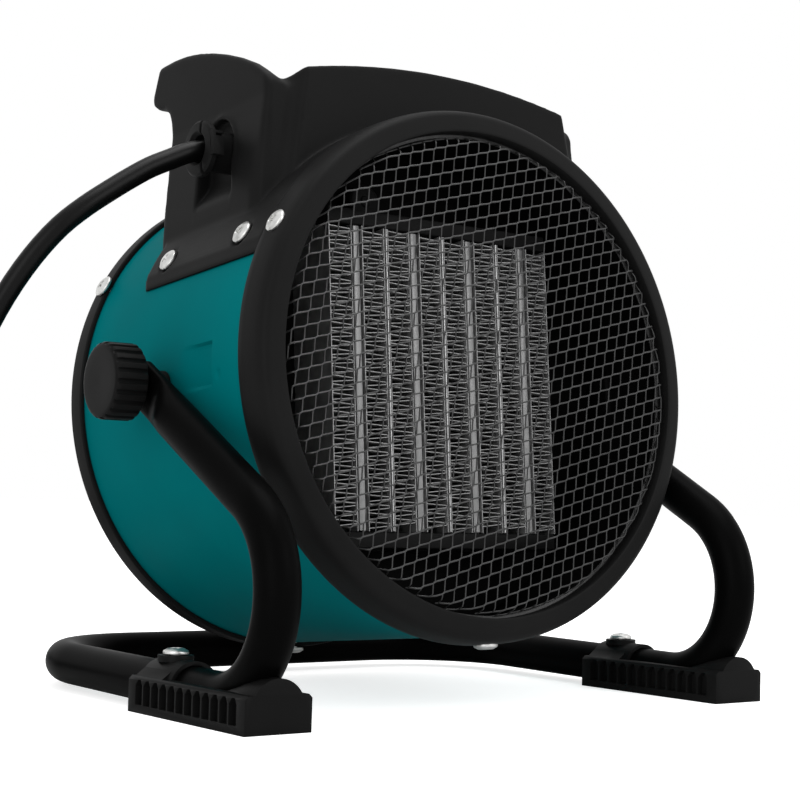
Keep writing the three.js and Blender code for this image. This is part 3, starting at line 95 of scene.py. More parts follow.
def make_camera():
    data = bpy.data.cameras.new("camera")
    data.sensor_width = SENSOR
    data.lens = FOCAL_PIXELS / IMAGE * SENSOR
    data.shift_x = (IMAGE / 2 - CENTRE_X) / IMAGE
    data.shift_y = (CENTRE_Y - IMAGE / 2) / IMAGE
    data.clip_start, data.clip_end = 0.01, 100
    camera = add_object("camera", data)
    back = Vector((
        math.sin(AZIMUTH) * math.cos(ELEVATION),
        -math.cos(AZIMUTH) * math.cos(ELEVATION),
        math.sin(ELEVATION),
    ))
    level = Vector((math.cos(AZIMUTH), math.sin(AZIMUTH), 0))
    upright = level.cross(-back)
    right = level * math.cos(ROLL) + upright * math.sin(ROLL)
    up = upright * math.cos(ROLL) - level * math.sin(ROLL)
    place = Matrix.Translation(Vector(CAMERA_PLACE) * MM)
    camera.matrix_world = place @ Matrix((right, up, back)).transposed().to_4x4()
    scene.camera = camera


make_camera()


# Meshes

WELD_DISTANCE = 1e-6


def weld(mesh):
    """Merges double points, removes faces without area and turns the others out."""
    work = bmesh.new()
    work.from_mesh(mesh)
    bmesh.ops.remove_doubles(work, verts=work.verts, dist=WELD_DISTANCE)
    bmesh.ops.dissolve_degenerate(work, edges=work.edges, dist=WELD_DISTANCE)
    bmesh.ops.recalc_face_normals(work, faces=work.faces)
    work.to_mesh(mesh)
    work.free()


def smooth(obj, angle=35):
    obj.data.shade_smooth()
    obj.data.set_sharp_from_angle(angle=math.radians(angle))
    return obj


def mesh_object(name, points, faces, place=None, angle=35):
    """Object from points in millimetres; place turns them into the shared frame first."""
    coords = np.asarray(points, float)
    if place is not None:
        coords = place(coords)
    mesh = bpy.data.meshes.new(name)
    mesh.from_pydata((coords * MM).tolist(), [], [list(f) for f in faces])
    weld(mesh)
    return smooth(add_object(name, mesh), angle)


def solid_object(name, points, faces, place=None):
    """Object with sharper edges, for flat-sided pieces."""
    return mesh_object(name, points, faces, place, angle=30)


record = frame["record"]
SLOT_OF = {entry["node"]: entry["material_slot"] for entry in record["subparts"]}
BODY_OF = {node: body for body, nodes in record["behaviour"]["bodies"].items() for node in nodes}


def dress(obj, node, material=None):
    """Puts a piece in a CAD node's place: hides the node, moves the piece to the node's body and gives it the
    given material, or else that of the node's slot.
    """
    obj.data.materials.clear()
    obj.data.materials.append(material or MATERIALS[SLOT_OF[node]])
    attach(obj, BODY_OF[node])
    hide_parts(node)
    return obj


def ring_faces(rows, columns, closed=False):
    """Faces between rows of points, each row a closed ring; closed joins the last row to the first."""
    faces = []
    for i in range(rows if closed else rows - 1):
        this, following = i * columns, (i + 1) % rows * columns
        for j in range(columns):
            after = (j + 1) % columns
            faces.append((this + j, this + after, following + after, following + j))
    return faces


def loft(rings):
    """Points and faces of a closed skin over rings with the same count, with a cap at each end."""
    rows, columns = len(rings), len(rings[0])
    faces = ring_faces(rows, columns)
    faces.append(tuple(range(columns - 1, -1, -1)))
    faces.append(tuple((rows - 1) * columns + i for i in range(columns)))
    return np.concatenate([np.asarray(r, float) for r in rings]), faces


def join_parts(*parts):
    """One list of points and one of faces from several such pairs."""
    points, faces, start = [], [], 0
    for part_points, part_faces in parts:
        points.append(np.asarray(part_points, float))
        faces += [tuple(i + start for i in f) for f in part_faces]
        start += len(part_points)
    return np.concatenate(points), faces


# A bend flatter than this needs no rounding
NEARLY_STRAIGHT = math.radians(88.5)


def rounded(corners, radii, steps=5, closed=False):
    """Polyline with its corners rounded; radii is one number or one for each corner."""
    corners = [np.asarray(c, float) for c in corners]
    if np.isscalar(radii):
        radii = [radii] * len(corners)
    made = []
    for i, corner in enumerate(corners):
        if not closed and i in (0, len(corners) - 1) or radii[i] <= 0:
            made.append(corner)
            continue
        before = corners[i - 1] - corner
        after = corners[(i + 1) % len(corners)] - corner
        before_length, after_length = np.linalg.norm(before), np.linalg.norm(after)
        before, after = before / before_length, after / after_length
        half = math.acos(max(-1, min(1, before @ after))) / 2
        if half > NEARLY_STRAIGHT:
            made.append(corner)
            continue
        reach = min(radii[i] / math.tan(half), before_length * 0.49, after_length * 0.49)
        radius = reach * math.tan(half)
        centre = corner + (before + after) / np.linalg.norm(before + after) * math.hypot(radius, reach)
        start, end = corner + before * reach - centre, corner + after * reach - centre
        turn = math.atan2(start[0] * end[1] - start[1] * end[0], start @ end)
        for k in range(steps + 1):
            angle = turn * k / steps
            cos, sin = math.cos(angle), math.sin(angle)
            made.append(centre + np.array([start[0] * cos - start[1] * sin, start[0] * sin + start[1] * cos]))
    return made


def lathe(profile, sides, closed=True, axis="y"):
    """Profile of (radius, along) turned about an axis, Y if no other is given."""
    profile = np.asarray(profile, float)
    angles = np.arange(sides) / sides * 2 * math.pi
    radius, along = profile[:, :1], np.repeat(profile[:, 1:], sides, axis=1)
    across, up = radius * np.cos(angles), radius * np.sin(angles)
    columns = {"y": (across, along, up), "x": (along, across, up), "z": (across, up, along)}[axis]
    points = np.stack(columns, axis=-1).reshape(-1, 3)
    return points, ring_faces(len(profile), sides, closed)


def turned(name, profile, radii, sides, steps=5, closed=False, axis="y", centre=(0, 0, 0),
           place=drum_to_world, angle=35):
    """Object turned from a profile whose corners are rounded, about an axis through the centre."""
    points, faces = lathe(rounded(profile, radii, steps, closed), sides, closed, axis)
    return mesh_object(name, points + np.array(centre), faces, place, angle)


def directions(path):
    """Unit vectors along a path, one for each of its points."""
    tangents = np.gradient(path, axis=0)
    return tangents / np.linalg.norm(tangents, axis=1)[:, None]


def sweep(path, radius, sides):
    """Tube of a constant radius along points, with flat ends."""
    path = np.asarray(path, float)
    tangents = directions(path)
    side = np.cross(tangents[0], (0, 0, 1))
    side /= np.linalg.norm(side)
    angles = np.arange(sides) / sides * 2 * math.pi
    rings = []
    for point, tangent in zip(path, tangents):
        side = side - tangent * (side @ tangent)
        side /= np.linalg.norm(side)
        up = np.cross(side, tangent)
        rings.append(point + radius * (np.outer(np.cos(angles), side) + np.outer(np.sin(angles), up)))
    return loft(rings)


def band_part(path, width, front, back):
    """Band on edge along y that follows a path in x and z; width is one number or one for each point."""
    path = np.asarray(path, float)
    tangents = directions(path)
    halves = np.broadcast_to(np.asarray(width, float), len(path))[:, None] / 2
    sides = np.stack([-tangents[:, 1], tangents[:, 0]], axis=1) * halves
    rings = []
    for (x, z), (sx, sz) in zip(path, sides):
        near = [(x - sx, front, z - sz), (x + sx, front, z + sz)]
        far = [(x + sx, back, z + sz), (x - sx, back, z - sz)]
        rings.append(near + far)
    return loft(rings)


def box_part(low, high):
    (x0, y0, z0), (x1, y1, z1) = low, high
    ring = [(x0, y0), (x1, y0), (x1, y1), (x0, y1)]
    return loft([[(x, y, z0) for x, y in ring], [(x, y, z1) for x, y in ring]])


def prism_part(axis, outline, start, end):
    """Outline pushed along an axis; its two coordinates come in the order of x, y, z."""
    slot = "xyz".index(axis)
    return loft([[tuple(np.insert(p, slot, along)) for p in outline] for along in (start, end)])


def rod_part(axis, start, end, centre, radius, sides=48):
    """Rod along an axis; its centre has the other two coordinates."""
    angles = np.arange(sides) / sides * 2 * math.pi
    outline = np.stack([centre[0] + radius * np.cos(angles), centre[1] + radius * np.sin(angles)], axis=1)
    return prism_part(axis, outline, start, end)


def modifier(obj, kind, **settings):
    added = obj.modifiers.new(kind.lower(), kind)
    for key, value in settings.items():
        setattr(added, key, value)
    return added


def evaluated_mesh(obj):
    """Mesh of an object with its modifiers, or of a curve."""
    bpy.context.view_layer.update()
    evaluated = obj.evaluated_get(bpy.context.evaluated_depsgraph_get())
    return bpy.data.meshes.new_from_object(evaluated)


def apply_modifiers(obj):
    mesh = evaluated_mesh(obj)
    obj.modifiers.clear()
    old = obj.data
    obj.data = mesh
    bpy.data.meshes.remove(old)
    return smooth(obj)


def combine(obj, operation, *parts, place=None):
    """Unites an object with parts or cuts them away; each part is a pair of points and faces."""
    tools = []
    for points, faces in parts:
        tool = solid_object("tool", points, faces, place)
        modifier(obj, "BOOLEAN", operation=operation, object=tool, solver="EXACT")
        tools.append(tool)
    apply_modifiers(obj)
    for tool in tools:
        bpy.data.objects.remove(tool)
    return obj


def bevel(obj, width, segments=2, angle=32):
    """Rounds the edges by a width in millimetres."""
    modifier(obj, "BEVEL", width=width * MM, segments=segments, limit_method="ANGLE",
             angle_limit=math.radians(angle), use_clamp_overlap=True)
    modifier(obj, "WEIGHTED_NORMAL", keep_sharp=True)
    return apply_modifiers(obj)


# Materials


def linear(shades):
    """sRGB shades out of 255, or one for a grey, to a linear colour."""
    made = []
    for shade in (shades,) * 3 if np.isscalar(shades) else shades:
        share = shade / 255
        made.append(share / 12.92 if share <= 0.04045 else ((share + 0.055) / 1.055) ** 2.4)
    return (*made, 1.0)


# Most of a noise's values lie in this range
NOISE_MIDDLE = (0.3, 0.7)


class Nodes:
    """Short names for making a material's node tree."""

    def __init__(self, name):
        self.material = bpy.data.materials.new(name)
        self.material.use_nodes = True
        self.tree = self.material.node_tree
        self.tree.nodes.clear()
        self.output = self.add("ShaderNodeOutputMaterial")
        self.shader = self.add("ShaderNodeBsdfPrincipled")
        self.link(self.shader, "BSDF", self.output, "Surface")
        self.coordinates = self.add("ShaderNodeTexCoord")

    def add(self, kind, **inputs):
        node = self.tree.nodes.new(kind)
        for key, value in inputs.items():
            node.inputs[key.replace("_", " ")].default_value = value
        return node

    def link(self, source, output, target, socket):
        self.tree.links.new(source.outputs[output], target.inputs[socket])

    def noise(self, scale, detail):
        node = self.add("ShaderNodeTexNoise", Scale=scale, Detail=detail)
        self.link(self.coordinates, "Object", node, "Vector")
        return node

    def ranged(self, noise, low, high):
        """Stretches the middle of a noise over a range."""
        start, end = NOISE_MIDDLE
        node = self.add("ShaderNodeMapRange", From_Min=start, From_Max=end, To_Min=low, To_Max=high)
        self.link(noise, "Fac", node, "Value")
        return node

    def mixed(self, factor, first, second):
        """Blends two colours; the node's sockets 6, 7 and output 2 are its colours."""
        node = self.tree.nodes.new("ShaderNodeMix")
        node.data_type = "RGBA"
        node.inputs[6].default_value = first
        node.inputs[7].default_value = second
        self.link(factor, "Result", node, 0)
        return node

    def bump(self, noise, strength, distance, below=None):
        node = self.add("ShaderNodeBump", Strength=strength, Distance=distance)
        self.link(noise, "Fac", node, "Height")
        if below is not None:
            self.link(below, "Normal", node, "Normal")
        return node


def surface(name, dark, light, roughness, metallic=0.0, grain=None, ripple=None, patch=30.0, specular=0.5):
    """Material whose colour and gloss vary softly in patches between two shades.

    patch is the scale of its noise. The fine grain and the slow ripple of the surface are each given as
    scale, strength and depth in millimetres.
    """
    made = Nodes(name)
    patches = made.noise(patch, detail=3.0)
    colour = made.mixed(made.ranged(patches, 0, 1), linear(dark), linear(light))
    made.link(colour, 2, made.shader, "Base Color")
    made.link(made.ranged(patches, *roughness), "Result", made.shader, "Roughness")
    made.shader.inputs["Metallic"].default_value = metallic
    made.shader.inputs["Specular IOR Level"].default_value = specular
    last = None
    for setting in (ripple, grain):
        if setting:
            scale, strength, depth = setting
            last = made.bump(made.noise(scale, detail=1.0), strength, depth * MM, last)
    if last is not None:
        made.link(last, "Normal", made.shader, "Normal")
    return made.material


black_plastic = surface("black_plastic", 19, 23, (0.46, 0.54),
                        grain=(2600, 0.35, 0.06), ripple=(60, 0.08, 0.4), specular=0.05)
knob_plastic = surface("knob_plastic", 16, 19, (0.4, 0.48),
                       grain=(3000, 0.25, 0.05), specular=0.05)
tube_paint = surface("tube_paint", 4, 6, (0.36, 0.42),
                     grain=(900, 0.2, 0.06), specular=0.016)
teal_paint = surface("teal_paint", (0, 103, 107), (0, 107, 111), (0.42, 0.48),
                     grain=(1100, 0.18, 0.05), ripple=(45, 0.05, 0.3), specular=0.004)
dark_wire = surface("dark_wire", 58, 72, (0.3, 0.42), metallic=0.6,
                    grain=(1500, 0.2, 0.05), patch=200, specular=0.2)
# Dark steel made near-black: partly the steel's own dark paint, partly painted shade for the shadowed inside
# of the drum where it is used
dark_steel = surface("dark_steel", 5, 8, (0.5, 0.65),
                     grain=(900, 0.2, 0.05), specular=0.05)
zinc = surface("zinc", (190, 190, 188), (222, 222, 220), (0.28, 0.42), metallic=1.0,
               grain=(1400, 0.3, 0.08), patch=260)
aluminium = surface("aluminium", 134, 150, (0.34, 0.5), metallic=0.8,
                    grain=(1200, 0.25, 0.06), patch=180)
white_plastic = surface("white_plastic", (214, 210, 200), (222, 218, 208), (0.4, 0.5),
                        grain=(2200, 0.2, 0.05))
cord_rubber = surface("cord_rubber", 5, 8, (0.3, 0.38),
                      grain=(1800, 0.15, 0.04), specular=0.12)
amber = surface("amber_lens", (200, 92, 18), (214, 104, 26), (0.08, 0.12))
bright_strip = surface("bright_strip", 190, 215, (0.25, 0.4), metallic=0.8,
                       grain=(1200, 0.2, 0.05), patch=200)
fin_metal = surface("fin_metal", 130, 160, (0.35, 0.5), metallic=0.6,
                    grain=(1200, 0.2, 0.05), patch=200)
galvanised = surface("galvanised", (96, 98, 98), (122, 124, 124), (0.45, 0.6), metallic=0.8,
                     grain=(1100, 0.25, 0.06), patch=90)
MATERIALS = {
    "black_plastic": black_plastic,
    "tube_paint": tube_paint,
    "teal_paint": teal_paint,
    "dark_steel": dark_steel,
    "zinc": zinc,
    "aluminium": aluminium,
    "white_plastic": white_plastic,
    "cord_rubber": cord_rubber,
    "amber_lens": amber,
}


# Sizes that the pieces share, as in the CAD model

CLEAR = 0.3
DRUM_RADIUS = 99.0
DRUM_WALL = 1.2
DRUM_INNER = DRUM_RADIUS - DRUM_WALL
DRUM_FRONT, DRUM_BACK = -9.0, 130.5
RING_BORE = DRUM_RADIUS + CLEAR
TUBE_SPREAD = 108.4
SHOE_SCREW_Y = -29.4
BOSS_TOP = 20.2


# Cord: it runs from the gland to the floor, and lies in a coil there

CORD_RADIUS = 4.0
LEAD = [
    (-83.4, 1.2, 209.4), (-86.5, 1.2, 209.1), (-90.5, 1.2, 208.1), (-95.5, 1.1, 206.2),
    (-101, 1.1, 203.5), (-109.5, 1, 199.2), (-117.6, 1, 194), (-125.7, 1, 188.3),
    (-135.3, 1.2, 181.1), (-144, 2.8, 173), (-152.5, 6.2, 161.5), (-160, 11.5, 147),
    (-166, 18, 130), (-170.5, 25, 111), (-174.5, 32.5, 91), (-178.5, 40.5, 71),
    (-183, 49.5, 52), (-188.5, 60, 35), (-195.5, 72, 21.5), (-204, 86, 11),
    (-213.3, 100.9, 5.5), (-218.9, 110.5, 4.35), (-222.9, 117.4, 4.3),
]
COIL_RADIUS = 42.5
COIL_TURNS = 4 + 8 / 24
COIL_STEPS = 24
COIL_START = math.radians(210)
TURN_PITCH = 8.7
TAIL_RISE = 24.0
PLUG_RADIUS = 18.5
CORD_STEPS, CORD_SIDES = 3, 20


def smoothstep(value, low, high):
    share = np.clip((value - low) / (high - low), 0, 1)
    return share * share * (3 - 2 * share)


def cord_route():
    """Route from the gland to the plug, as in the CAD model."""
    lead = np.array(LEAD, float)
    end = lead[-1]
    out = np.array([math.cos(COIL_START), math.sin(COIL_START), 0])
    along = np.array([math.sin(COIL_START), -math.cos(COIL_START), 0])
    inner = COIL_RADIUS - COIL_TURNS / 4 * TURN_PITCH
    outer = COIL_RADIUS + COIL_TURNS / 4 * TURN_PITCH
    straight = 2 * CORD_RADIUS
    centre = end + along * (straight + CLEAR) - out * outer
    route = [*lead]
    half = COIL_TURNS / 2
    for i in range(round(COIL_TURNS * COIL_STEPS) + 1):
        turns = i / COIL_STEPS
        angle = COIL_START - turns * 2 * math.pi
        radius = inner + abs(turns - half) * TURN_PITCH
        climb = smoothstep(turns, half - 1 / 4, half + 1 / 4)
        route.append(np.array([
            centre[0] + radius * math.cos(angle),
            centre[1] + radius * math.sin(angle),
            end[2] + climb * TURN_PITCH,
        ]))
    last = COIL_START - COIL_TURNS * 2 * math.pi
    along = np.array([math.sin(last), -math.cos(last), 0])
    start = route[-1]
    rise = PLUG_RADIUS + CLEAR - start[2]
    # The tail rises to the middle of the plug
    for share in (0, 1 / 4, 1 / 2, 3 / 4, 1):
        lift = np.array([0, 0, rise * smoothstep(share, 0, 1)])
        route.append(start + along * (straight + share * TAIL_RISE) + lift)
    route.append(route[-1] + along * straight)
    return np.array(route), along


def through(points, steps):
    """Smooth curve through points, with some steps between each two."""
    points = np.asarray(points, float)
    padded = np.concatenate([[2 * points[0] - points[1]], points, [2 * points[-1] - points[-2]]])
    made = []
    for i in range(1, len(padded) - 2):
        p0, p1, p2, p3 = padded[i - 1:i + 3]
        t0 = 0.0
        t1 = t0 + np.linalg.norm(p1 - p0) ** 0.5
        t2 = t1 + np.linalg.norm(p2 - p1) ** 0.5
        t3 = t2 + np.linalg.norm(p3 - p2) ** 0.5
        for k in range(steps):
            t = t1 + (t2 - t1) * k / steps
            a1 = (t1 - t) / (t1 - t0) * p0 + (t - t0) / (t1 - t0) * p1
            a2 = (t2 - t) / (t2 - t1) * p1 + (t - t1) / (t2 - t1) * p2
            a3 = (t3 - t) / (t3 - t2) * p2 + (t - t2) / (t3 - t2) * p3
            b1 = (t2 - t) / (t2 - t0) * a1 + (t - t0) / (t2 - t0) * a2
            b2 = (t3 - t) / (t3 - t1) * a2 + (t - t1) / (t3 - t1) * a3
            made.append((t2 - t) / (t2 - t1) * b1 + (t - t1) / (t2 - t1) * b2)
    made.append(points[-1])
    return np.array(made)


route, plug_along = cord_route()
fine_route = through(route, CORD_STEPS)
cord = mesh_object("mains_cord", *sweep(fine_route, CORD_RADIUS, CORD_SIDES), angle=60)
cord.data.materials.append(cord_rubber)
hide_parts("cord_lead", "cord_coil")
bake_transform(cord)


# Screws: pan heads with a cross recess

HEAD_RADIUS = 4.6
HEAD_HEIGHT = 2.3
SHANK_RADIUS = 1.9
SCREW_LENGTH = 3.0
CROSS_WIDTH = 1.05
CROSS_REACH = 2.5


def screw_mesh():
    """Screw along Z with the underside of its head at z = 0."""
    profile = rounded([
        (0, -SCREW_LENGTH), (SHANK_RADIUS - 0.4, -SCREW_LENGTH), (SHANK_RADIUS, -SCREW_LENGTH + 0.4),
        (SHANK_RADIUS, 0), (HEAD_RADIUS, 0), (HEAD_RADIUS, HEAD_HEIGHT * 0.52),
        (HEAD_RADIUS * 0.62, HEAD_HEIGHT * 0.93), (0, HEAD_HEIGHT),
    ], [0, 0, 0, 0, 0.3, 0.7, 2, 0], steps=4)
    points, faces = lathe(profile, 40, closed=False, axis="z")
    screw = solid_object("screw", points, faces)
    # Two crossed slots, narrower at their floor than where they leave the head
    floor = (HEAD_HEIGHT * 0.4, CROSS_REACH * 0.6, CROSS_WIDTH / 3)
    mouth = (HEAD_HEIGHT + 1, CROSS_REACH, CROSS_WIDTH / 2 * 1.4)
    slots = []
    for turn in (0, math.pi / 2):
        cos, sin = math.cos(turn), math.sin(turn)
        rings = []
        for z, reach, half in (floor, mouth):
            corners = [(-reach, -half), (reach, -half), (reach, half), (-reach, half)]
            rings.append([(x * cos - y * sin, x * sin + y * cos, z) for x, y in corners])
        slots.append(loft(rings))
    combine(screw, "DIFFERENCE", *slots)
    return smooth(screw, 24)


SCREW = screw_mesh()


def place_screw(node, matrix):
    """Copy of the screw under a matrix in millimetres."""
    scaled = matrix.copy()
    scaled.translation = matrix.translation * MM
    mesh = SCREW.data.copy()
    mesh.transform(scaled)
    dress(add_object(node + "_piece", mesh), node)


def radial_matrix(radius, angle, y, spin):
    """Turns Z into the drum's radius at an angle from +X towards +Z."""
    out = Vector((math.cos(angle), 0, math.sin(angle)))
    side = Vector((0, 1, 0))
    basis = Matrix((side, out.cross(side), out)).transposed().to_4x4()
    place = Matrix.Translation(out * radius + Vector((0, y, 0)))
    return DRUM_MATRIX @ place @ basis @ Matrix.Rotation(spin, 4, "Z")


RING_ANGLE = math.radians(29)
HOUSING_ANGLE = math.radians(29.8)
HOUSING_ANGLES = {"left": math.pi - HOUSING_ANGLE, "right": HOUSING_ANGLE}
RING_ANGLES = {"left": math.pi - RING_ANGLE, "right": RING_ANGLE, "bottom": -math.pi / 2}
FRONT_RING_RADIUS, REAR_RING_RADIUS = 102.5, 101.0
FRONT_SCREW_Y, REAR_SCREW_Y = -6.0, 127.0
RING_SCREW_SINK = 0.7
HOUSING_SCREW_RADIUS = 101.1
HOUSING_SCREW_YS = {"front": 19.0, "rear": 74.1}

# Each screw's cross stands at another angle
spin = 0.4
for side, angle in RING_ANGLES.items():
    front = radial_matrix(FRONT_RING_RADIUS - RING_SCREW_SINK, angle, FRONT_SCREW_Y, spin)
    rear = radial_matrix(REAR_RING_RADIUS + CLEAR, angle, REAR_SCREW_Y, 2 * spin)
    place_screw("front_ring_screw_" + side, front)
    place_screw("rear_ring_screw_" + side, rear)
    spin += 0.5
for side, angle in HOUSING_ANGLES.items():
    for row, y in HOUSING_SCREW_YS.items():
        place_screw(f"housing_screw_{side}_{row}", radial_matrix(HOUSING_SCREW_RADIUS, angle, y, spin))
        spin += 0.7
for side, x in (("left", -TUBE_SPREAD), ("right", TUBE_SPREAD)):
    upright = Matrix.Translation((x, SHOE_SCREW_Y, BOSS_TOP + CLEAR)) @ Matrix.Rotation(spin, 4, "Z")
    place_screw(side + "_shoe_screw", upright)
    spin += 0.6
bpy.data.objects.remove(SCREW)


# Drum: a rolled sheet with a pressed rectangle and a dimple in front of each pivot

STAMP_Y = (24.0, 48.0)
STAMP_HALF_HEIGHT = 8.6
STAMP_MIDDLE = math.radians(1.2)
STAMP_DEPTH = 1.9
STAMP_EDGE = 1.2
# Where its front edge starts and ends, and how long it stays deep, all from its front
STAMP_FRONT_EDGE, STAMP_FLAT = (-0.3, 0.9), 4
DIMPLE_Y = 19.6
DIMPLE_ANGLE = math.radians(-1.5)
DIMPLE_RADIUS = 1.9
DIMPLE_DEPTH = 0.9
DIMPLE_SQUASH = 0.75
# Degrees between the sheet's points, and where they lie closer
FINE_ANGLE, COARSE_ANGLE = 0.45, 1.5
FINE_ANGLES = (-8, 12)
FINE_STEP, COARSE_STEP = 0.7, 4.0
FINE_YS = (14, 52)


def stamp_depth(y, height):
    """Depth of the pressed marks at a place on the sheet; height runs up along the sheet."""
    across = smoothstep(STAMP_HALF_HEIGHT - np.abs(height - STAMP_MIDDLE * DRUM_RADIUS), 0, STAMP_EDGE)
    start, end = STAMP_Y
    front = smoothstep(y, start + STAMP_FRONT_EDGE[0], start + STAMP_FRONT_EDGE[1])
    rear = 1 - smoothstep(y, start + STAMP_FLAT, end)
    dimple = np.hypot(y - DIMPLE_Y, (height - DIMPLE_ANGLE * DRUM_RADIUS) * DIMPLE_SQUASH) / DIMPLE_RADIUS
    return STAMP_DEPTH * across * front * rear + DIMPLE_DEPTH * (1 - smoothstep(dimple, 0, 1))


def stretch(limits, coarse, dense, dense_step):
    """Places between two limits, closer together inside the dense range."""
    places = []
    for start, end, step in (
        (limits[0], dense[0], coarse), (dense[0], dense[1], dense_step), (dense[1], limits[1], coarse),
    ):
        count = max(1, round((end - start) / step))
        places += [start + (end - start) * i / count for i in range(count)]
    return places


def make_drum():
    half = stretch((-90, 90), COARSE_ANGLE, FINE_ANGLES, FINE_ANGLE)
    # Half of the angles is about +X, the other about -X, mirrored
    right, left = np.array(half), np.array([90, *half[:0:-1]])
    angles = np.radians(np.concatenate([right, 180 - left]))
    heights = np.radians(np.concatenate([right, left])) * DRUM_RADIUS
    along = np.array(stretch((DRUM_FRONT, DRUM_BACK), COARSE_STEP, FINE_YS, FINE_STEP) + [DRUM_BACK])
    depth = stamp_depth(along[:, None], heights[None, :])
    rows = [(DRUM_RADIUS - depth[i], np.full(len(angles), y)) for i, y in enumerate(along)]
    rows += [(DRUM_INNER - depth[i], np.full(len(angles), y)) for i, y in reversed(list(enumerate(along)))]
    points = [np.stack([r * np.cos(angles), y, r * np.sin(angles)], axis=-1) for r, y in rows]
    faces = ring_faces(len(rows), len(angles), closed=True)
    drum = mesh_object("drum_sheet", np.concatenate(points), faces, drum_to_world, angle=40)
    dress(drum, "drum_shell")
    # The inside takes the near-black dark_steel, painted shade for the shadowed inside of the drum
    drum.data.materials.append(dark_steel)
    start = drum_to_world([0, 0, 0])
    axis = Vector(drum_to_world([0, 1, 0]) - start)
    for face in drum.data.polygons:
        out = face.center - Vector(start * MM)
        out -= axis * out.dot(axis)
        face.material_index = 0 if face.normal.dot(out) > 0 else 1


make_drum()


# Rings of black plastic at both ends of the drum

OPENING_RADIUS = 92.6
RING_FRONT = -16.2
NET_FRONT = -10.1
REAR_RING_START = 124.8
REAR_OPENING = 90.0
GRILLE_FRONT, GRILLE_BACK = DRUM_BACK + CLEAR, DRUM_BACK + CLEAR + 1.5
REAR_RING_BACK = REAR_RING_START + 11
REAR_CHAMFER = 2.7
RING_SIDES = 240


def make_rings():
    outer = FRONT_RING_RADIUS
    depth = -RING_FRONT
    seat = NET_FRONT - CLEAR
    face = through([
        (outer, -depth * 0.2), (outer - 0.3, -depth * 0.52), (outer - 0.8, -depth * 0.72),
        (outer - 1.7, -depth * 0.85), (outer - 3.1, -depth * 0.92), (outer - 6.0, -depth * 0.965),
    ], 6)
    profile = [
        (RING_BORE, 0), (outer - 0.5, 0), (outer - 0.15, -0.15), (outer, -0.5), *face,
        (OPENING_RADIUS + 1.2, RING_FRONT + 0.04), (OPENING_RADIUS + 0.6, RING_FRONT),
        (OPENING_RADIUS + 0.2, RING_FRONT + 0.15), (OPENING_RADIUS, RING_FRONT + 0.6),
        (OPENING_RADIUS, seat - 0.3), (OPENING_RADIUS + 0.3, seat), (RING_BORE, seat),
    ]
    front = mesh_object("front_bezel", *lathe(profile, RING_SIDES), drum_to_world, angle=40)
    dress(front, "front_ring")
    outer = REAR_RING_RADIUS
    seat = GRILLE_BACK + CLEAR
    rear = turned("rear_bezel", [
        (RING_BORE, REAR_RING_START), (outer, REAR_RING_START), (outer, REAR_RING_BACK - REAR_CHAMFER),
        (outer - REAR_CHAMFER, REAR_RING_BACK), (REAR_OPENING, REAR_RING_BACK), (REAR_OPENING, seat),
        (RING_BORE, seat),
    ], [0, 1.3, 1.6, 1.6, 1.2, 0.3, 0], RING_SIDES, closed=True, angle=40)
    dress(rear, "rear_ring")


make_rings()


# Front net of stretched metal: stepped strands with a short bond at each crossing

NET_BACK = -9.3
NET_RADIUS = 98.7
PAN_FRONT, PAN_RADIUS, PAN_BEND = -15.5, 88.6, 1.6
PAN_REACH = PAN_RADIUS + 7.0
SKIRT_LEAN = math.radians(68)
ALONG_ROW = np.array([5.5, 1.6])
UP_ROW = np.array([1.4, 5.43])
BOND = np.array([0.5, 0.33])
STRAND = 0.28
BOND_STRAND = 0.34
# A rising strand starts and ends at this share of the bond
BOND_SHARE = 0.9
STRAND_STEP = 1.3
STRAND_SIDES = 6
NET_FLANGE = 1.1


def on_pan(flat):
    """Point of the flat sheet laid on the pan: level out to its radius, then bent back to the flange."""
    reach = np.hypot(*flat)
    past = max(reach - PAN_RADIUS, 0)
    lean = SKIRT_LEAN * min(past / PAN_BEND, 1)
    bent = min(past, PAN_BEND)
    share = bent / PAN_BEND * SKIRT_LEAN
    out = PAN_BEND * math.sin(share) / SKIRT_LEAN + (past - bent) * math.cos(lean)
    back = PAN_BEND * (1 - math.cos(share)) / SKIRT_LEAN + (past - bent) * math.sin(lean)
    radius = min(reach, PAN_RADIUS) + out
    middle = max(reach, 1e-6)
    return np.array([flat[0] * radius / middle, PAN_FRONT + back, flat[1] * radius / middle])


def strand_part(points, radii):
    """Thin bar along points of the flat sheet; radii has one half width for each point."""
    path, sizes = [], []
    for (start, end), (first, last) in zip(zip(points, points[1:]), zip(radii, radii[1:])):
        outer = max(np.hypot(*start), np.hypot(*end)) > PAN_RADIUS - 1
        steps = max(1, round(np.linalg.norm(end - start) / STRAND_STEP)) if outer else 1
        for share in np.arange(steps) / steps:
            path.append(on_pan(start + (end - start) * share))
            sizes.append(first + (last - first) * share)
    path.append(on_pan(points[-1]))
    sizes.append(radii[-1])
    path = np.array(path)
    angles = (np.arange(STRAND_SIDES) + 0.5) / STRAND_SIDES * 2 * math.pi
    rings = []
    for place, tangent, radius in zip(path, directions(path), sizes):
        side = np.cross(tangent, (0, 1.0, 0))
        side /= np.linalg.norm(side)
        above = np.cross(side, tangent)
        rings.append(place + radius * (np.outer(np.cos(angles), side) + np.outer(np.sin(angles), above)))
    return loft(rings)


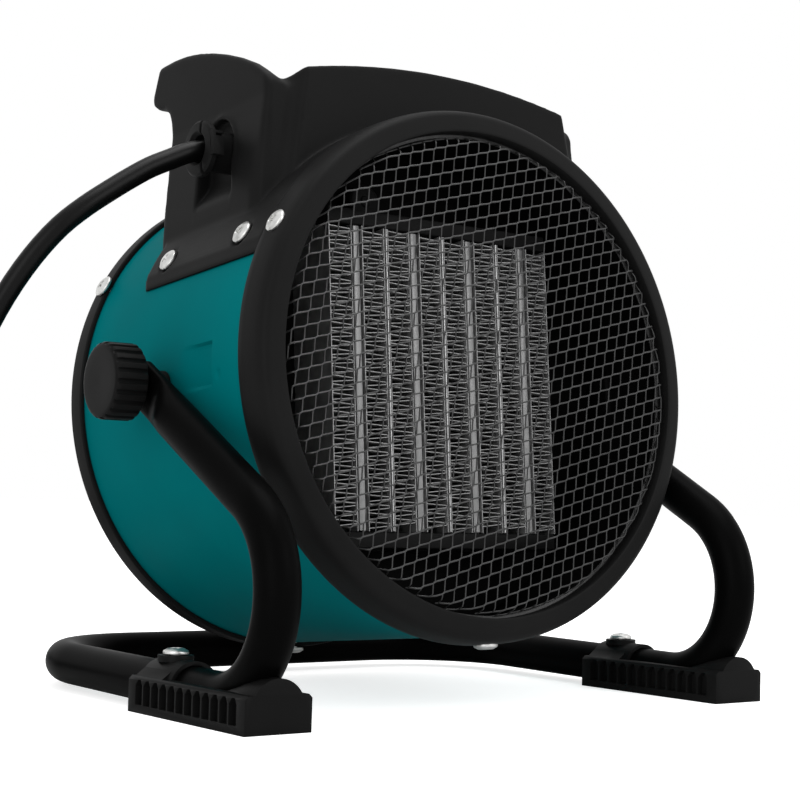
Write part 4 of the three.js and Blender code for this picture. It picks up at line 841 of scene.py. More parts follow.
def make_net():
    parts = []
    # More rows than needed, of which only those inside the pan's reach are kept
    reach = math.ceil(PAN_REACH / ALONG_ROW[0]) + 4
    for row in range(-reach, reach + 1):
        nodes = [row * UP_ROW + column * ALONG_ROW for column in range(-2 * reach, 2 * reach + 1)]
        nodes = [node for node in nodes if np.hypot(*node) < PAN_REACH]
        if len(nodes) < 2:
            continue
        strand, radii = [], []
        for node in nodes:
            strand += [node - BOND, node + BOND]
            radii += [BOND_STRAND, BOND_STRAND]
        parts.append(strand_part(strand, radii))
        for node in nodes:
            upper = node + UP_ROW
            if np.hypot(*upper) < PAN_REACH:
                rising = [node + BOND * BOND_SHARE, (node + upper) / 2, upper - BOND * BOND_SHARE]
                parts.append(strand_part(rising, [STRAND] * 3))
    inner = OPENING_RADIUS - NET_FLANGE
    corners = [(inner, NET_FRONT), (NET_RADIUS, NET_FRONT), (NET_RADIUS, NET_BACK), (inner, NET_BACK)]
    parts.append(lathe(rounded(corners, 0.25, steps=2, closed=True), 160))
    dress(mesh_object("wire_net", *join_parts(*parts), drum_to_world, angle=50), "front_net", dark_wire)


make_net()


# Heating element: bars, folded fins and contact strips in a stack, held by two brackets

ELEMENT_FRONT, ELEMENT_BACK = 12.0, 37.0
ELEMENT_HALF = 58.2
ELEMENT_SHIFT = np.array([-1.2, 0, -0.7])
FIN_WIDTH, BAR_WIDTH, STRIP_WIDTH = 10.4, 4.2, 1.0
FIN_PERIOD = 3.36
FIN_SHEET = 0.3
FIN_SIDE = 0.35
FIN_END = 0.6
FIN_STAGGER = 0.7
FOLD_ROUND = 0.3
# One fold's corners: 0 is the column's left side and 1 its right, then the share of the period
FOLD = [(0, 0), (1, 0.15), (1, 0.42), (0, 0.72)]
BAR_INSET = 0.6
STRIP_INSET = 0.22
STRIP_PROUD = 0.8
BRACKET_HEIGHT = 6.0
BRACKET_GROOVES = 5
GROOVE_HALF_WIDTH, GROOVE_INSET, GROOVE_DEPTH = 6.0, 4.0, 1.0
STACK = ["fin", "bar", "fin", "strip"] * 3 + ["fin", "bar", "fin"]
STACK_WIDTHS = {"fin": FIN_WIDTH, "bar": BAR_WIDTH, "strip": STRIP_WIDTH}


def element_place(points):
    return drum_to_world(np.asarray(points) + ELEMENT_SHIFT)


def fin_part(left, right, shift):
    """Thin sheet folded to and fro between two side strips."""
    inset = FIN_SHEET / 2
    low, high = left + FIN_SIDE + inset, right - FIN_SIDE - inset
    count = int((2 * ELEMENT_HALF - 1) / FIN_PERIOD)
    folds = []
    for i in range(count):
        top = ELEMENT_HALF - FIN_END - shift - i * FIN_PERIOD
        folds += [((low, high)[side], top - share * FIN_PERIOD) for side, share in FOLD]
    sheet = band_part(rounded(folds, FOLD_ROUND, steps=3), FIN_SHEET, ELEMENT_FRONT, ELEMENT_BACK)
    sides = [
        box_part((start, ELEMENT_FRONT - 0.3, -ELEMENT_HALF), (start + FIN_SIDE, ELEMENT_BACK, ELEMENT_HALF))
        for start in (left, right - FIN_SIDE)
    ]
    return join_parts(sheet, *sides)


def upright_box(name, left, right, front):
    """Box as high as the element."""
    box = box_part((left, front, -ELEMENT_HALF), (right, ELEMENT_BACK, ELEMENT_HALF))
    return solid_object(name, *box, element_place)


def make_element():
    width = sum(STACK_WIDTHS[kind] for kind in STACK) + (len(STACK) - 1) * CLEAR
    edge = -width / 2
    count = {"fin": 0, "bar": 0, "strip": 0}
    for kind in STACK:
        end = edge + STACK_WIDTHS[kind]
        count[kind] += 1
        number = count[kind]
        if kind == "fin":
            # The folds of neighbouring columns don't line up
            folded = fin_part(edge, end, number % 3 * FIN_STAGGER)
            fin = mesh_object(f"folded_fin_{number}", *folded, element_place, angle=50)
            dress(fin, f"fin_column_{number}", fin_metal)
        elif kind == "bar":
            bar = upright_box(f"ceramic_bar_{number}", edge + BAR_INSET, end - BAR_INSET, ELEMENT_FRONT)
            dress(bevel(bar, 0.5, 3), f"ptc_bar_{number}")
        else:
            front = ELEMENT_FRONT - STRIP_PROUD
            strip = upright_box(f"strip_{number}", edge + STRIP_INSET, end - STRIP_INSET, front)
            dress(bevel(strip, 0.2, 2), f"contact_strip_{number}", bright_strip)
        edge = end + CLEAR
    for node, up in (("element_top_bracket", 1), ("element_bottom_bracket", -1)):
        inner, outer = up * (ELEMENT_HALF + CLEAR), up * (ELEMENT_HALF + CLEAR + BRACKET_HEIGHT)
        low, high = sorted((inner, outer))
        block = box_part((-width / 2, ELEMENT_FRONT, low), (width / 2, ELEMENT_BACK, high))
        channel = solid_object(node + "_piece", *block, element_place)
        grooves = []
        for i in range(BRACKET_GROOVES):
            x = (i - (BRACKET_GROOVES - 1) / 2) * width / BRACKET_GROOVES
            start = (x - GROOVE_HALF_WIDTH, ELEMENT_FRONT + GROOVE_INSET, outer - GROOVE_DEPTH)
            end = (x + GROOVE_HALF_WIDTH, ELEMENT_BACK - GROOVE_INSET, outer + GROOVE_DEPTH)
            grooves.append(box_part(start, end))
        combine(channel, "DIFFERENCE", *grooves, place=element_place)
        dress(bevel(channel, 0.5, 2), node)
    return width


STACK_WIDTH = make_element()
BAFFLE_FRONT = ELEMENT_BACK + CLEAR
BAFFLE_SHEET = 1.2
BAFFLE_BACK = BAFFLE_FRONT + BAFFLE_SHEET
BAFFLE_RIM = 5.0
BAFFLE_OVERLAP = 1.6
CUTOUT_X = -26.0
CUTOUT_RADIUS = 7.0
CUTOUT_Z = ELEMENT_HALF + BRACKET_HEIGHT + CUTOUT_RADIUS + 3 * CLEAR


def make_baffle():
    radius, rim = DRUM_INNER - CLEAR, BAFFLE_BACK + BAFFLE_RIM
    inner = radius - BAFFLE_SHEET
    plate = turned("baffle_sheet", [
        (0, BAFFLE_FRONT), (radius, BAFFLE_FRONT), (radius, rim), (inner, rim), (inner, BAFFLE_BACK),
        (0, BAFFLE_BACK),
    ], [0, 1.4, 0.2, 0.2, 1, 0], 160, angle=30)
    x, z = STACK_WIDTH / 2 - BAFFLE_OVERLAP, ELEMENT_HALF - BAFFLE_OVERLAP
    opening = box_part((-x, BAFFLE_FRONT - 3, -z), (x, BAFFLE_BACK + 3, z))
    combine(plate, "DIFFERENCE", opening, place=drum_to_world)
    dress(plate, "baffle_plate")
    cutout = turned("heat_cutout", [
        (0, 27.4), (2.0, 27.4), (2.4, 28), (6.2, 28), (CUTOUT_RADIUS, 28.8), (CUTOUT_RADIUS, 35.6),
        (6.4, 36.2), (6.4, ELEMENT_BACK), (0, ELEMENT_BACK),
    ], [0, 0.3, 0, 0.4, 0.4, 0.3, 0.2, 0.2, 0], 48, steps=3, centre=(CUTOUT_X, 0, CUTOUT_Z))
    dress(cutout, "thermal_cutout")


make_baffle()


# Fan, motor and its bracket

FAN_START, HUB_LENGTH, HUB_RADIUS = 56.2, 17.0, 17.0
BLADES = 5
BLADE_TIP = 85.0
BLADE_PITCH = math.radians(27)
BLADE_CHORDS = (13.8, 44.0)
BLADE_SHEET = 1.5
BLADE_STATIONS = (0, 0.2, 0.4, 0.6, 0.78, 0.9, 0.96, 1.0)
BLADE_CAMBER = 0.05
# Share of the sheet's thickness that is left at a blade's edges
BLADE_THIN = 0.35
# Share of the chord that the round tip takes away, and between which places
TIP_CUT, TIP_START, TIP_END = 0.45, 0.78, 1.12
CHORD_POINTS = 9
HUB_WALL = 1.6
MOTOR_START, MOTOR_LENGTH, MOTOR_RADIUS = 77.2, 34.0, 28.0
SHAFT_RADIUS = 3.0


def blade_part(turn):
    """Thin blade, a little curved across its chord, with rounded tip corners."""
    rings = []
    cos, sin = math.cos(turn), math.sin(turn)
    pitch_cos, pitch_sin = math.cos(BLADE_PITCH), math.sin(BLADE_PITCH)
    for share in BLADE_STATIONS:
        radius = HUB_RADIUS - HUB_WALL + share * (BLADE_TIP - HUB_RADIUS + HUB_WALL)
        chord = BLADE_CHORDS[0] + share * (BLADE_CHORDS[1] - BLADE_CHORDS[0])
        chord *= 1 - TIP_CUT * smoothstep(share, TIP_START, TIP_END)
        upper, lower = [], []
        for place in np.linspace(-1, 1, CHORD_POINTS):
            across = place / 2 * chord
            camber = BLADE_CAMBER * chord * (1 - place ** 2)
            thick = BLADE_SHEET / 2 * (BLADE_THIN + (1 - BLADE_THIN) * math.sqrt(1 - place ** 4))
            for side, row in ((1, upper), (-1, lower)):
                away = camber + side * thick
                x = across * pitch_cos - away * pitch_sin
                y = across * pitch_sin + away * pitch_cos
                row.append((x * cos + radius * sin, FAN_START + HUB_LENGTH / 2 + y, radius * cos - x * sin))
        rings.append(upper + lower[::-1])
    return loft(rings)


def make_fan():
    start, end = FAN_START, FAN_START + HUB_LENGTH
    bore, inner = SHAFT_RADIUS + CLEAR, HUB_RADIUS - HUB_WALL
    hub = turned("fan_hub", [
        (bore, start), (6, start), (7, start + 1.2), (HUB_RADIUS, start + 1.2), (HUB_RADIUS, end),
        (inner, end), (inner, start + 4), (7.5, start + 4), (7.5, end), (bore, end),
    ], [0.3, 0.8, 0.8, 3, 0.4, 0.4, 1, 1, 0.3, 0.3], 96, closed=True)
    blades = [blade_part(i / BLADES * 2 * math.pi) for i in range(BLADES)]
    dress(combine(hub, "UNION", *blades, place=drum_to_world), "fan_rotor")


def make_motor():
    """Motor can with a groove round it, and its shaft."""
    start, end = MOTOR_START, MOTOR_START + MOTOR_LENGTH
    shaft_end = FAN_START - 3
    groove = MOTOR_RADIUS - 0.7
    motor = turned("motor_can", [
        (0, shaft_end), (SHAFT_RADIUS - 0.5, shaft_end), (SHAFT_RADIUS, shaft_end + 0.5),
        (SHAFT_RADIUS, start - 1), (8, start - 1), (8, start + 1), (14, start + 1), (14, start + 3),
        (MOTOR_RADIUS, start + 5.5), (MOTOR_RADIUS, start + 13), (groove, start + 13.4),
        (groove, start + 14.2), (MOTOR_RADIUS, start + 14.6), (MOTOR_RADIUS, end - 1),
        (MOTOR_RADIUS - 1, end), (9, end), (8, end - 1), (0, end - 1),
    ], [0, 0, 0, 0, 0.6, 0.4, 1.5, 1.5, 4, 0, 0, 0, 0, 0.5, 0.5, 0.4, 0.4, 0], 96, steps=4)
    dress(motor, "fan_motor", galvanised)


make_fan()
make_motor()


ARMS = 3
ARM_WIDTH, ARM_SHEET = 12.0, 2.5
ARM_RIB_WIDTH, ARM_RIB_DEPTH = 2.0, 6.8
BRACKET_DISC_RADIUS, BRACKET_DISC_THICK = 25.5, 5.0
FOOT_WIDTH, FOOT_LENGTH, FOOT_SHEET = 18.0, 12.0, 2.5


def turn_about_axis(part, turn):
    """Part turned about the drum's axis."""
    points, faces = part
    x, y, z = points.T
    cos, sin = math.cos(turn), math.sin(turn)
    return np.stack([x * cos + z * sin, y, z * cos - x * sin], axis=-1), faces


def bracket_arm(middle, radius):
    """Parts of the upper arm: its strip, its rib and the foot under the drum's sheet."""
    x, y = ARM_WIDTH / 2, ARM_SHEET / 2
    strip = box_part((-x, middle - y, 10), (x, middle + y, radius - 2.6))
    x, y = ARM_RIB_WIDTH / 2, ARM_RIB_DEPTH / 2
    rib = box_part((-x, middle - y, 24), (x, middle + y, radius - 3))
    spread = math.asin(FOOT_WIDTH / 2 / radius)
    arc = []
    for reach, first in ((radius, -spread), (radius - FOOT_SHEET, spread)):
        arc += [(reach * math.sin(a), reach * math.cos(a)) for a in np.linspace(first, -first, 9)]
    foot = prism_part("y", arc, middle - FOOT_LENGTH / 2, middle + FOOT_LENGTH / 2)
    return [strip, rib, foot]


def make_bracket():
    """Disc behind the motor with three arms and feet that reach the drum."""
    front = MOTOR_START + MOTOR_LENGTH + CLEAR
    back = front + BRACKET_DISC_THICK
    disc = [(0, front), (BRACKET_DISC_RADIUS, front), (BRACKET_DISC_RADIUS, back), (0, back)]
    spider = turned("motor_spider", disc, [0, 1, 1, 0], 96, angle=30)
    arm = bracket_arm((front + back) / 2, DRUM_INNER - CLEAR)
    arms = [turn_about_axis(part, i / ARMS * 2 * math.pi) for i in range(ARMS) for part in arm]
    combine(spider, "UNION", *arms, place=drum_to_world)
    dress(bevel(spider, 0.4, 2), "motor_bracket", galvanised)


make_bracket()


# Rear grille: a plate with rings of rounded slots

GRILLE_HUB = 22.0
SLOT_STEP = 16.4
SLOT_HEIGHT = 13.0
SLOT_COUNTS = (6, 9, 12, 15)
GRILLE_RIB = 3.2
SLOT_ROUND = 3.5


def plate_object(name, outlines, low, high, edge):
    """Plate from flat closed outlines, the inner ones as holes, that reaches along Z from low to high."""
    curve = bpy.data.curves.new(name, "CURVE")
    curve.dimensions = "2D"
    curve.fill_mode = "BOTH"
    curve.resolution_u = 1
    curve.extrude = (high - low) / 2 - edge
    curve.bevel_depth = edge
    curve.bevel_resolution = 1
    curve.offset = -edge
    for outline in outlines:
        spline = curve.splines.new("POLY")
        spline.points.add(len(outline) - 1)
        for point, (x, y) in zip(spline.points, outline):
            point.co = (x, y, 0, 1)
        spline.use_cyclic_u = True
    holder = add_object(name, curve)
    mesh = evaluated_mesh(holder)
    bpy.data.objects.remove(holder)
    mesh.transform(Matrix.Translation((0, 0, (low + high) / 2)))
    return add_object(name, mesh)


def circle(radius, count, centre=(0, 0)):
    angles = [i / count * 2 * math.pi for i in range(count)]
    return [(centre[0] + radius * math.cos(a), centre[1] + radius * math.sin(a)) for a in angles]


def lay_on_drum(obj):
    """Turns a plate in millimetres, flat in x and y, into the drum's x and z."""
    swap = Matrix(((1, 0, 0), (0, 0, 1), (0, 1, 0))).to_4x4()
    obj.data.transform(DRUM_MATRIX @ swap)
    obj.data.transform(Matrix.Scale(MM, 4))
    weld(obj.data)
    return smooth(obj, 30)


def make_grille():
    outlines = [circle(RING_BORE - 2 * CLEAR, 160)]
    for ring, count in enumerate(SLOT_COUNTS):
        inner = GRILLE_HUB + ring * SLOT_STEP
        outer = inner + SLOT_HEIGHT
        for slot in range(count):
            middle = slot / count * 2 * math.pi
            corners = []
            for radius, shares in ((inner, np.linspace(-1, 1, 7)), (outer, np.linspace(1, -1, 9))):
                angles = middle + shares * (math.pi / count - GRILLE_RIB / 2 / radius)
                corners += [(radius * math.cos(a), radius * math.sin(a)) for a in angles]
            # The ends of both arcs are the slot's corners
            turns = [SLOT_ROUND if i in (0, 6, 7, 15) else 0 for i in range(len(corners))]
            outlines.append(rounded(corners, turns, closed=True))
    plate = lay_on_drum(plate_object("rear_grille_plate", outlines, GRILLE_FRONT, GRILLE_BACK, 0.3))
    dress(plate, "rear_grille")


make_grille()


# Top housing: a field of distances whose zero level is the moulded shape

HUMP_FRONT, HUMP_BACK = 17.0, 92.0
HUMP_TOP = 138.8
HUMP_HALF_WIDTH, SHOULDER_HALF_WIDTH = 82.5, 76.6
LIP_BACK = 102.4
LIP_TIP = (107.5, 124.4)
CHEEK_INNER, CHEEK_OUTER = 66.0, 74.6
SADDLE_TOP, SADDLE_EDGE, SADDLE_FOOT = 57.0, 45.5, 37.0
SADDLE_FRONT, SADDLE_BACK = 1.2, 87.5
SADDLE_BAND = 2.6
BLOCK_FRONT, BLOCK_BACK = 12.6, 62.0
BLOCK_HALF_WIDTH, BLOCK_CORNER, BLOCK_CREST = 64.1, 117.8, 124.6
# The block stands a little to the right and leans up to that side, as the photograph shows
BLOCK_SHIFT, BLOCK_LEAN = 2.1, 0.014
# Its sides taper by this share of their height, and its top falls to the sides and to the back
BLOCK_TAPER, BLOCK_SIDE_FALL, BLOCK_BACK_FALL = 1 / 6, 0.45, 0.1
# Its front corners are cut off slantwise, by this much across and along
BLOCK_CUT_WIDTH, BLOCK_CUT_LENGTH = 4.8, 9.6
CORNER_ROUND = 8.0
EDGE_ROUND = 2.4
HOUSING_WALL = 2.5
POCKET_HALF_WIDTH, POCKET_FLOOR, POCKET_HEIGHT, POCKET_DEPTH = 27.0, 107.0, 18.0, 27.0
POCKET_ROUND = 3.0
RECESS_X, RECESS_RADIUS, RECESS_DROP = 73.0, 12.9, 24.7
RECESS_Y, RECESS_Z = 52.8, 90.2
RECESS_FOOT = 9.4
# Height over which the wall leans in from the saddle to the shoulder
WALL_RISE = 47.0
RECESS_LIP = 1.2
SCREW_PAD_RADIUS, SCREW_PAD_SINK = 5.4, 0.5
GLAND_Y, GLAND_Z = 48.0, 88.8
CHEEK_LINE = [
    (17, 34), (17, 109.4), (17.8, 111.0), (20, 113.4), (25, 117.2), (30, 120.6), (40, 125.5), (50, 129.5),
    (60, 132.8), (70, 135.4), (80, 137.3), (90, 138.6),
]
ROOF_LINE = [(17, 109.0), (25, 113.0), (35, 117.0), (45, 121.0), (60, 126.5), (75, 132.0), (92, 138.6)]
ROOF_SLANT = 1.2
PLAN_ROUND = 3.0
GRID = 1.0
GRID_LOW, GRID_HIGH = (-95.0, -3.0, 31.0), (95.0, 112.0, 143.0)
PAST_MIDDLE = -20
# Passes that bring the points onto the surface, and the most cells that one moves a point by
PASSES, LONGEST_MOVE = 2, 0.35
# A slope's square counts as this at least, where the field is flat
LEAST_SQUARE = 0.05


def smooth_min(first, second, reach):
    """Lower of two distances, with a rounded change between them."""
    overlap = np.maximum(reach - np.abs(first - second), 0) / reach
    return np.minimum(first, second) - overlap * overlap * reach / 4


def smooth_max(first, second, reach):
    return -smooth_min(-first, -second, reach)


def outline_distance(outline, a, b):
    """Distance to a closed outline, below zero inside."""
    starts = np.asarray(outline, float)
    nearest, inside = np.inf, False
    for (a0, b0), (a1, b1) in zip(starts, np.roll(starts, -1, axis=0)):
        da, db = a1 - a0, b1 - b0
        share = np.clip(((a - a0) * da + (b - b0) * db) / (da * da + db * db), 0, 1)
        nearest = np.minimum(nearest, (a - a0 - share * da) ** 2 + (b - b0 - share * db) ** 2)
        if db:
            inside = inside ^ (((b0 <= b) != (b1 <= b)) & (a < a0 + (b - b0) * da / db))
    return np.sqrt(nearest) * np.where(inside, -1, 1)


def box_distance(offsets, halves):
    """Distance to a box from the offsets to its middle, below zero inside."""
    out = [np.abs(offset) - half for offset, half in zip(offsets, halves)]
    far = np.sqrt(sum(np.maximum(o, 0) ** 2 for o in out))
    return far + np.minimum(np.maximum(np.maximum(out[0], out[1]), out[2]), 0)


def hump_field(x, y, z):
    """The large body of the housing, with two cheeks, a lower roof between them and a lip at the back."""
    tip_y, tip_z = LIP_TIP
    side = CHEEK_LINE + [
        (LIP_BACK - 2.4, HUMP_TOP - 0.2), (LIP_BACK - 0.6, HUMP_TOP - 1.4), (tip_y - 0.3, tip_z + 2.5),
        (tip_y, tip_z), (tip_y - 0.7, tip_z - 1.8), (tip_y - 4, tip_z - 4), (HUMP_BACK + 5.5, tip_z - 5.6),
        (HUMP_BACK + 2, tip_z - 8.4), (HUMP_BACK + 0.6, tip_z - 12), (HUMP_BACK, POCKET_FLOOR),
        (HUMP_BACK, CHEEK_LINE[0][1]),
    ]
    edge = EDGE_ROUND
    section = [
        (HUMP_HALF_WIDTH, 0), (HUMP_HALF_WIDTH, SADDLE_TOP),
        (SHOULDER_HALF_WIDTH, (SADDLE_TOP + HUMP_TOP) / 2 + CORNER_ROUND),
        (SHOULDER_HALF_WIDTH, HUMP_TOP - edge), (SHOULDER_HALF_WIDTH - 0.3 * edge, HUMP_TOP - 0.3 * edge),
        (SHOULDER_HALF_WIDTH - edge, HUMP_TOP), (PAST_MIDDLE, HUMP_TOP), (PAST_MIDDLE, 0),
    ]
    width, back = HUMP_HALF_WIDTH, LIP_BACK + 12
    plan = [
        (width - CORNER_ROUND, HUMP_FRONT), (width - 0.3 * CORNER_ROUND, HUMP_FRONT + 0.3 * CORNER_ROUND),
        (width, HUMP_FRONT + CORNER_ROUND), (width, back), (PAST_MIDDLE, back), (PAST_MIDDLE, HUMP_FRONT),
    ]
    # Section and plan reach past the middle, so that their own end there doesn't shape the surface
    inner = np.abs(x)
    profile = outline_distance(side, y, z)
    front = smooth_max(profile, outline_distance(section, inner + 0 * z, z), EDGE_ROUND)
    # Between the two cheeks the roof lies lower; it slants, so that heights over it are longer than distances
    cheek = smoothstep(inner, CHEEK_INNER, CHEEK_OUTER)
    cheek_top = np.interp(y, *np.transpose(CHEEK_LINE[1:])) + EDGE_ROUND
    roof = (z - np.interp(y, *np.transpose(ROOF_LINE)) * (1 - cheek) - cheek_top * cheek) / ROOF_SLANT
    front = smooth_max(front, roof, EDGE_ROUND)
    return smooth_max(front, outline_distance(plan, inner + 0 * y, y), PLAN_ROUND)


def block_field(x, y, z):
    """The arched block in front of the hump."""
    inner = np.abs(x - BLOCK_SHIFT)
    z = z - BLOCK_LEAN * x
    widen = BLOCK_CUT_WIDTH * np.clip((y - BLOCK_FRONT) / BLOCK_CUT_LENGTH, 0, 1)
    half = BLOCK_HALF_WIDTH + widen
    flank = (inner - half - (BLOCK_CORNER - z) * BLOCK_TAPER) / math.hypot(1, BLOCK_TAPER)
    arch = BLOCK_CREST - BLOCK_CORNER
    fall = BLOCK_SIDE_FALL * np.maximum(inner - BLOCK_HALF_WIDTH, 0) + BLOCK_BACK_FALL * (y - BLOCK_FRONT)
    slope = 2 * arch * inner / BLOCK_HALF_WIDTH ** 2
    top = (z - BLOCK_CREST + arch * (inner / BLOCK_HALF_WIDTH) ** 2 + fall) / np.sqrt(1 + slope ** 2)
    ends = np.maximum(BLOCK_FRONT - y, y - BLOCK_BACK)
    return smooth_max(smooth_max(flank, top, 1.0), np.maximum(ends, SADDLE_TOP - 4 - z), 1.6)


def saddle_field(x, y, z):
    """The band on the drum, and the skirts down its sides with the screws."""
    inner, radius = np.abs(x), np.hypot(x, z)
    ends = np.maximum(SADDLE_FRONT - y, y - SADDLE_BACK)
    band = smooth_max(radius - DRUM_RADIUS - SADDLE_BAND, SADDLE_EDGE - z, 0.8)
    edge_x = math.sqrt((DRUM_RADIUS + SADDLE_BAND) ** 2 - SADDLE_EDGE ** 2)
    foot_x = math.sqrt((DRUM_RADIUS + CLEAR) ** 2 - SADDLE_FOOT ** 2)
    skirt = outline_distance([
        (foot_x, SADDLE_FOOT), (edge_x, SADDLE_EDGE), (HUMP_HALF_WIDTH, SADDLE_TOP),
        (HUMP_HALF_WIDTH - CORNER_ROUND, SADDLE_TOP), (HUMP_HALF_WIDTH - CORNER_ROUND, SADDLE_FOOT),
    ], inner, z)
    return smooth_max(smooth_min(band, skirt, 0.6), ends, 0.8)


def recess_fields(x, y, z):
    """Hollow round the gland in the left wall, and the raised lip along its front side."""
    turns = np.linspace(0, math.pi, 17)
    foot = RECESS_Z - RECESS_DROP
    arch = [(RECESS_Y + RECESS_RADIUS * math.cos(t), RECESS_Z + RECESS_RADIUS * math.sin(t)) for t in turns]
    arch += [(RECESS_Y - RECESS_RADIUS, foot), (RECESS_Y + RECESS_RADIUS, foot)]
    across = outline_distance(arch, y + 0 * z, z)
    # The floor comes out towards the foot of the hollow
    floor = -RECESS_X - RECESS_FOOT * smoothstep(RECESS_Z - z, 8, RECESS_DROP)
    hollow = np.maximum(across, x - floor)
    rise = np.clip((z - SADDLE_TOP) / WALL_RISE, 0, 1)
    wall = -(HUMP_HALF_WIDTH - (HUMP_HALF_WIDTH - SHOULDER_HALF_WIDTH) * rise)
    fade = smoothstep(RECESS_Y + 8 - y, 0, 10) * smoothstep(z, foot + 4, RECESS_Z - 4)
    lip = np.hypot(across - 0.6, (x - wall) * 1.1) - RECESS_LIP * fade
    return hollow, lip


def housing_field(x, y, z):
    base = smooth_min(hump_field(x, y, z), block_field(x, y, z), 4)
    outer = smooth_min(base, saddle_field(x, y, z), 0.8)
    # Finger pocket under the lip, open to the back
    start, back = HUMP_BACK - POCKET_DEPTH, LIP_BACK + 10
    offsets = (x, y - (start + back) / 2, z - (POCKET_FLOOR + POCKET_HEIGHT / 2))
    halves = (POCKET_HALF_WIDTH, (back - start) / 2, POCKET_HEIGHT / 2)
    pocket = box_distance(offsets, [half - POCKET_ROUND for half in halves]) - POCKET_ROUND
    hollow, lip = recess_fields(x, y, z)
    outer = smooth_min(outer, lip, 0.8)
    # The inside keeps a wall's distance from everything
    room = smooth_max(base + HOUSING_WALL, np.maximum(HOUSING_WALL - pocket, HOUSING_WALL - hollow), 1)
    # Flat round sinkings under the screws' heads
    for angle in HOUSING_ANGLES.values():
        cos, sin = math.cos(angle), math.sin(angle)
        for place in HOUSING_SCREW_YS.values():
            reach = np.hypot(y - place, z * cos - x * sin) - SCREW_PAD_RADIUS
            floor = HOUSING_SCREW_RADIUS - SCREW_PAD_SINK - x * cos - z * sin
            outer = np.maximum(outer, -np.maximum(reach, floor))
    solid = smooth_max(outer, -pocket, 2)
    solid = smooth_max(solid, -hollow, 1.2)
    solid = smooth_max(solid, RING_BORE - np.hypot(x, z), 0.5)
    return np.maximum(solid, -room)


def surface_net(field, low, step):
    """Points, faces and normals of the zero level of a field on a grid.

    Each cell that the level crosses gets one point, in the middle of its edges' crossings. Each crossed edge
    gets a face between its four cells. Steps along the slope then bring the points onto the level.
    """
    cells = tuple(n - 1 for n in field.shape)
    total = np.zeros((*cells, 3)).reshape(-1, 3)
    count = np.zeros(int(np.prod(cells)))
    crossings = []
    for axis in range(3):
        first = np.take(field, range(field.shape[axis] - 1), axis=axis)
        second = np.take(field, range(1, field.shape[axis]), axis=axis)
        index = np.argwhere((first < 0) != (second < 0))
        a, b = first[tuple(index.T)], second[tuple(index.T)]
        place = index.astype(float)
        place[:, axis] += a / (a - b)
        others = [o for o in range(3) if o != axis]
        around = []
        for back in ((1, 1), (0, 1), (0, 0), (1, 0)):
            cell = index.copy()
            cell[:, others[0]] -= back[0]
            cell[:, others[1]] -= back[1]
            flat = np.ravel_multi_index(tuple(cell.T), cells)
            np.add.at(total, flat, place)
            np.add.at(count, flat, 1)
            around.append(flat)
        quads = np.stack(around, axis=1)
        turn = (a < 0) ^ (axis == 1)
        quads[turn] = quads[turn][:, ::-1]
        crossings.append(quads)
    used = np.flatnonzero(count)
    number = np.full(len(count), -1)
    number[used] = np.arange(len(used))
    places = total[used] / count[used][:, None]
    gradient = np.stack(np.gradient(field), axis=-1)

    def sampled(grid, at):
        """Values of a grid at places between its points."""
        base = np.clip(np.floor(at).astype(int), 0, np.array(field.shape) - 2)
        share = at - base
        value = 0
        for corner in np.ndindex(2, 2, 2):
            weight = np.prod(np.where(corner, share, 1 - share), axis=1)
            picked = grid[tuple((base + corner).T)]
            value = value + (weight if picked.ndim == 1 else weight[:, None]) * picked
        return value

    for _ in range(PASSES):
        slope = sampled(gradient, places)
        size = np.maximum((slope ** 2).sum(axis=1), LEAST_SQUARE)
        move = (sampled(field, places) / size)[:, None] * slope
        places = places - np.clip(move, -LONGEST_MOVE, LONGEST_MOVE)
    normals = sampled(gradient, places)
    normals /= np.maximum(np.linalg.norm(normals, axis=1), 1e-9)[:, None]
    return np.array(low) + places * step, number[np.concatenate(crossings)][:, ::-1], normals


def make_housing():
    axes = [np.arange(low, high + GRID, GRID) for low, high in zip(GRID_LOW, GRID_HIGH)]
    x, y, z = np.meshgrid(*axes, indexing="ij", sparse=True)
    points, faces, normals = surface_net(housing_field(x, y, z), GRID_LOW, GRID)
    coords = drum_to_world(points) * MM
    upright = drum_to_world(points + normals) * MM - coords
    mesh = bpy.data.meshes.new("housing_moulding")
    mesh.from_pydata(coords.tolist(), [], faces.tolist())
    mesh.shade_smooth()
    mesh.normals_split_custom_set_from_vertices((upright / np.linalg.norm(upright, axis=1)[:, None]).tolist())
    dress(add_object("housing_moulding", mesh), "top_housing")


make_housing()


# Control panel at the back, with two dials and a lens

PANEL_HALF_WIDTH, PANEL_TOP, PANEL_BOTTOM = 71.0, 113.6, 79.0
PANEL_FRONT = HUMP_BACK + CLEAR
PANEL_BACK = PANEL_FRONT + 2.4
PANEL_ROUND = 2.0
PANEL_ARC_RADIUS, PANEL_ARC_POINTS = DRUM_RADIUS + 4, 41
DIAL_SPREAD, DIAL_Z, DIAL_RADIUS, DIAL_DEPTH = 49.0, 101.5, 10.5, 11.0
DIAL_SHAFT, DIAL_HOLE = 10.0, 4.0
HOLE_SIDES = 32
LENS_X, LENS_Z, LENS_RADIUS = 33.6, 104.0, 2.6
LENS_START = 85.5
MARK_SINK, MARK_LIFT = 0.05, 0.12
MARK_DEGREES, MARK_RADII, MARK_WIDTH = (150, 90, 30), (11.4, 12.2), 0.7
SCALE_DEGREES, SCALE_RADIUS, SCALE_POINTS = (225, -45), 11.6, 40
# The scale's first and last part are drawn, each with its own widths
SCALE_PART, SCALE_WIDTHS = 15, ((0.2, 0.6), (0.8, 1.3))


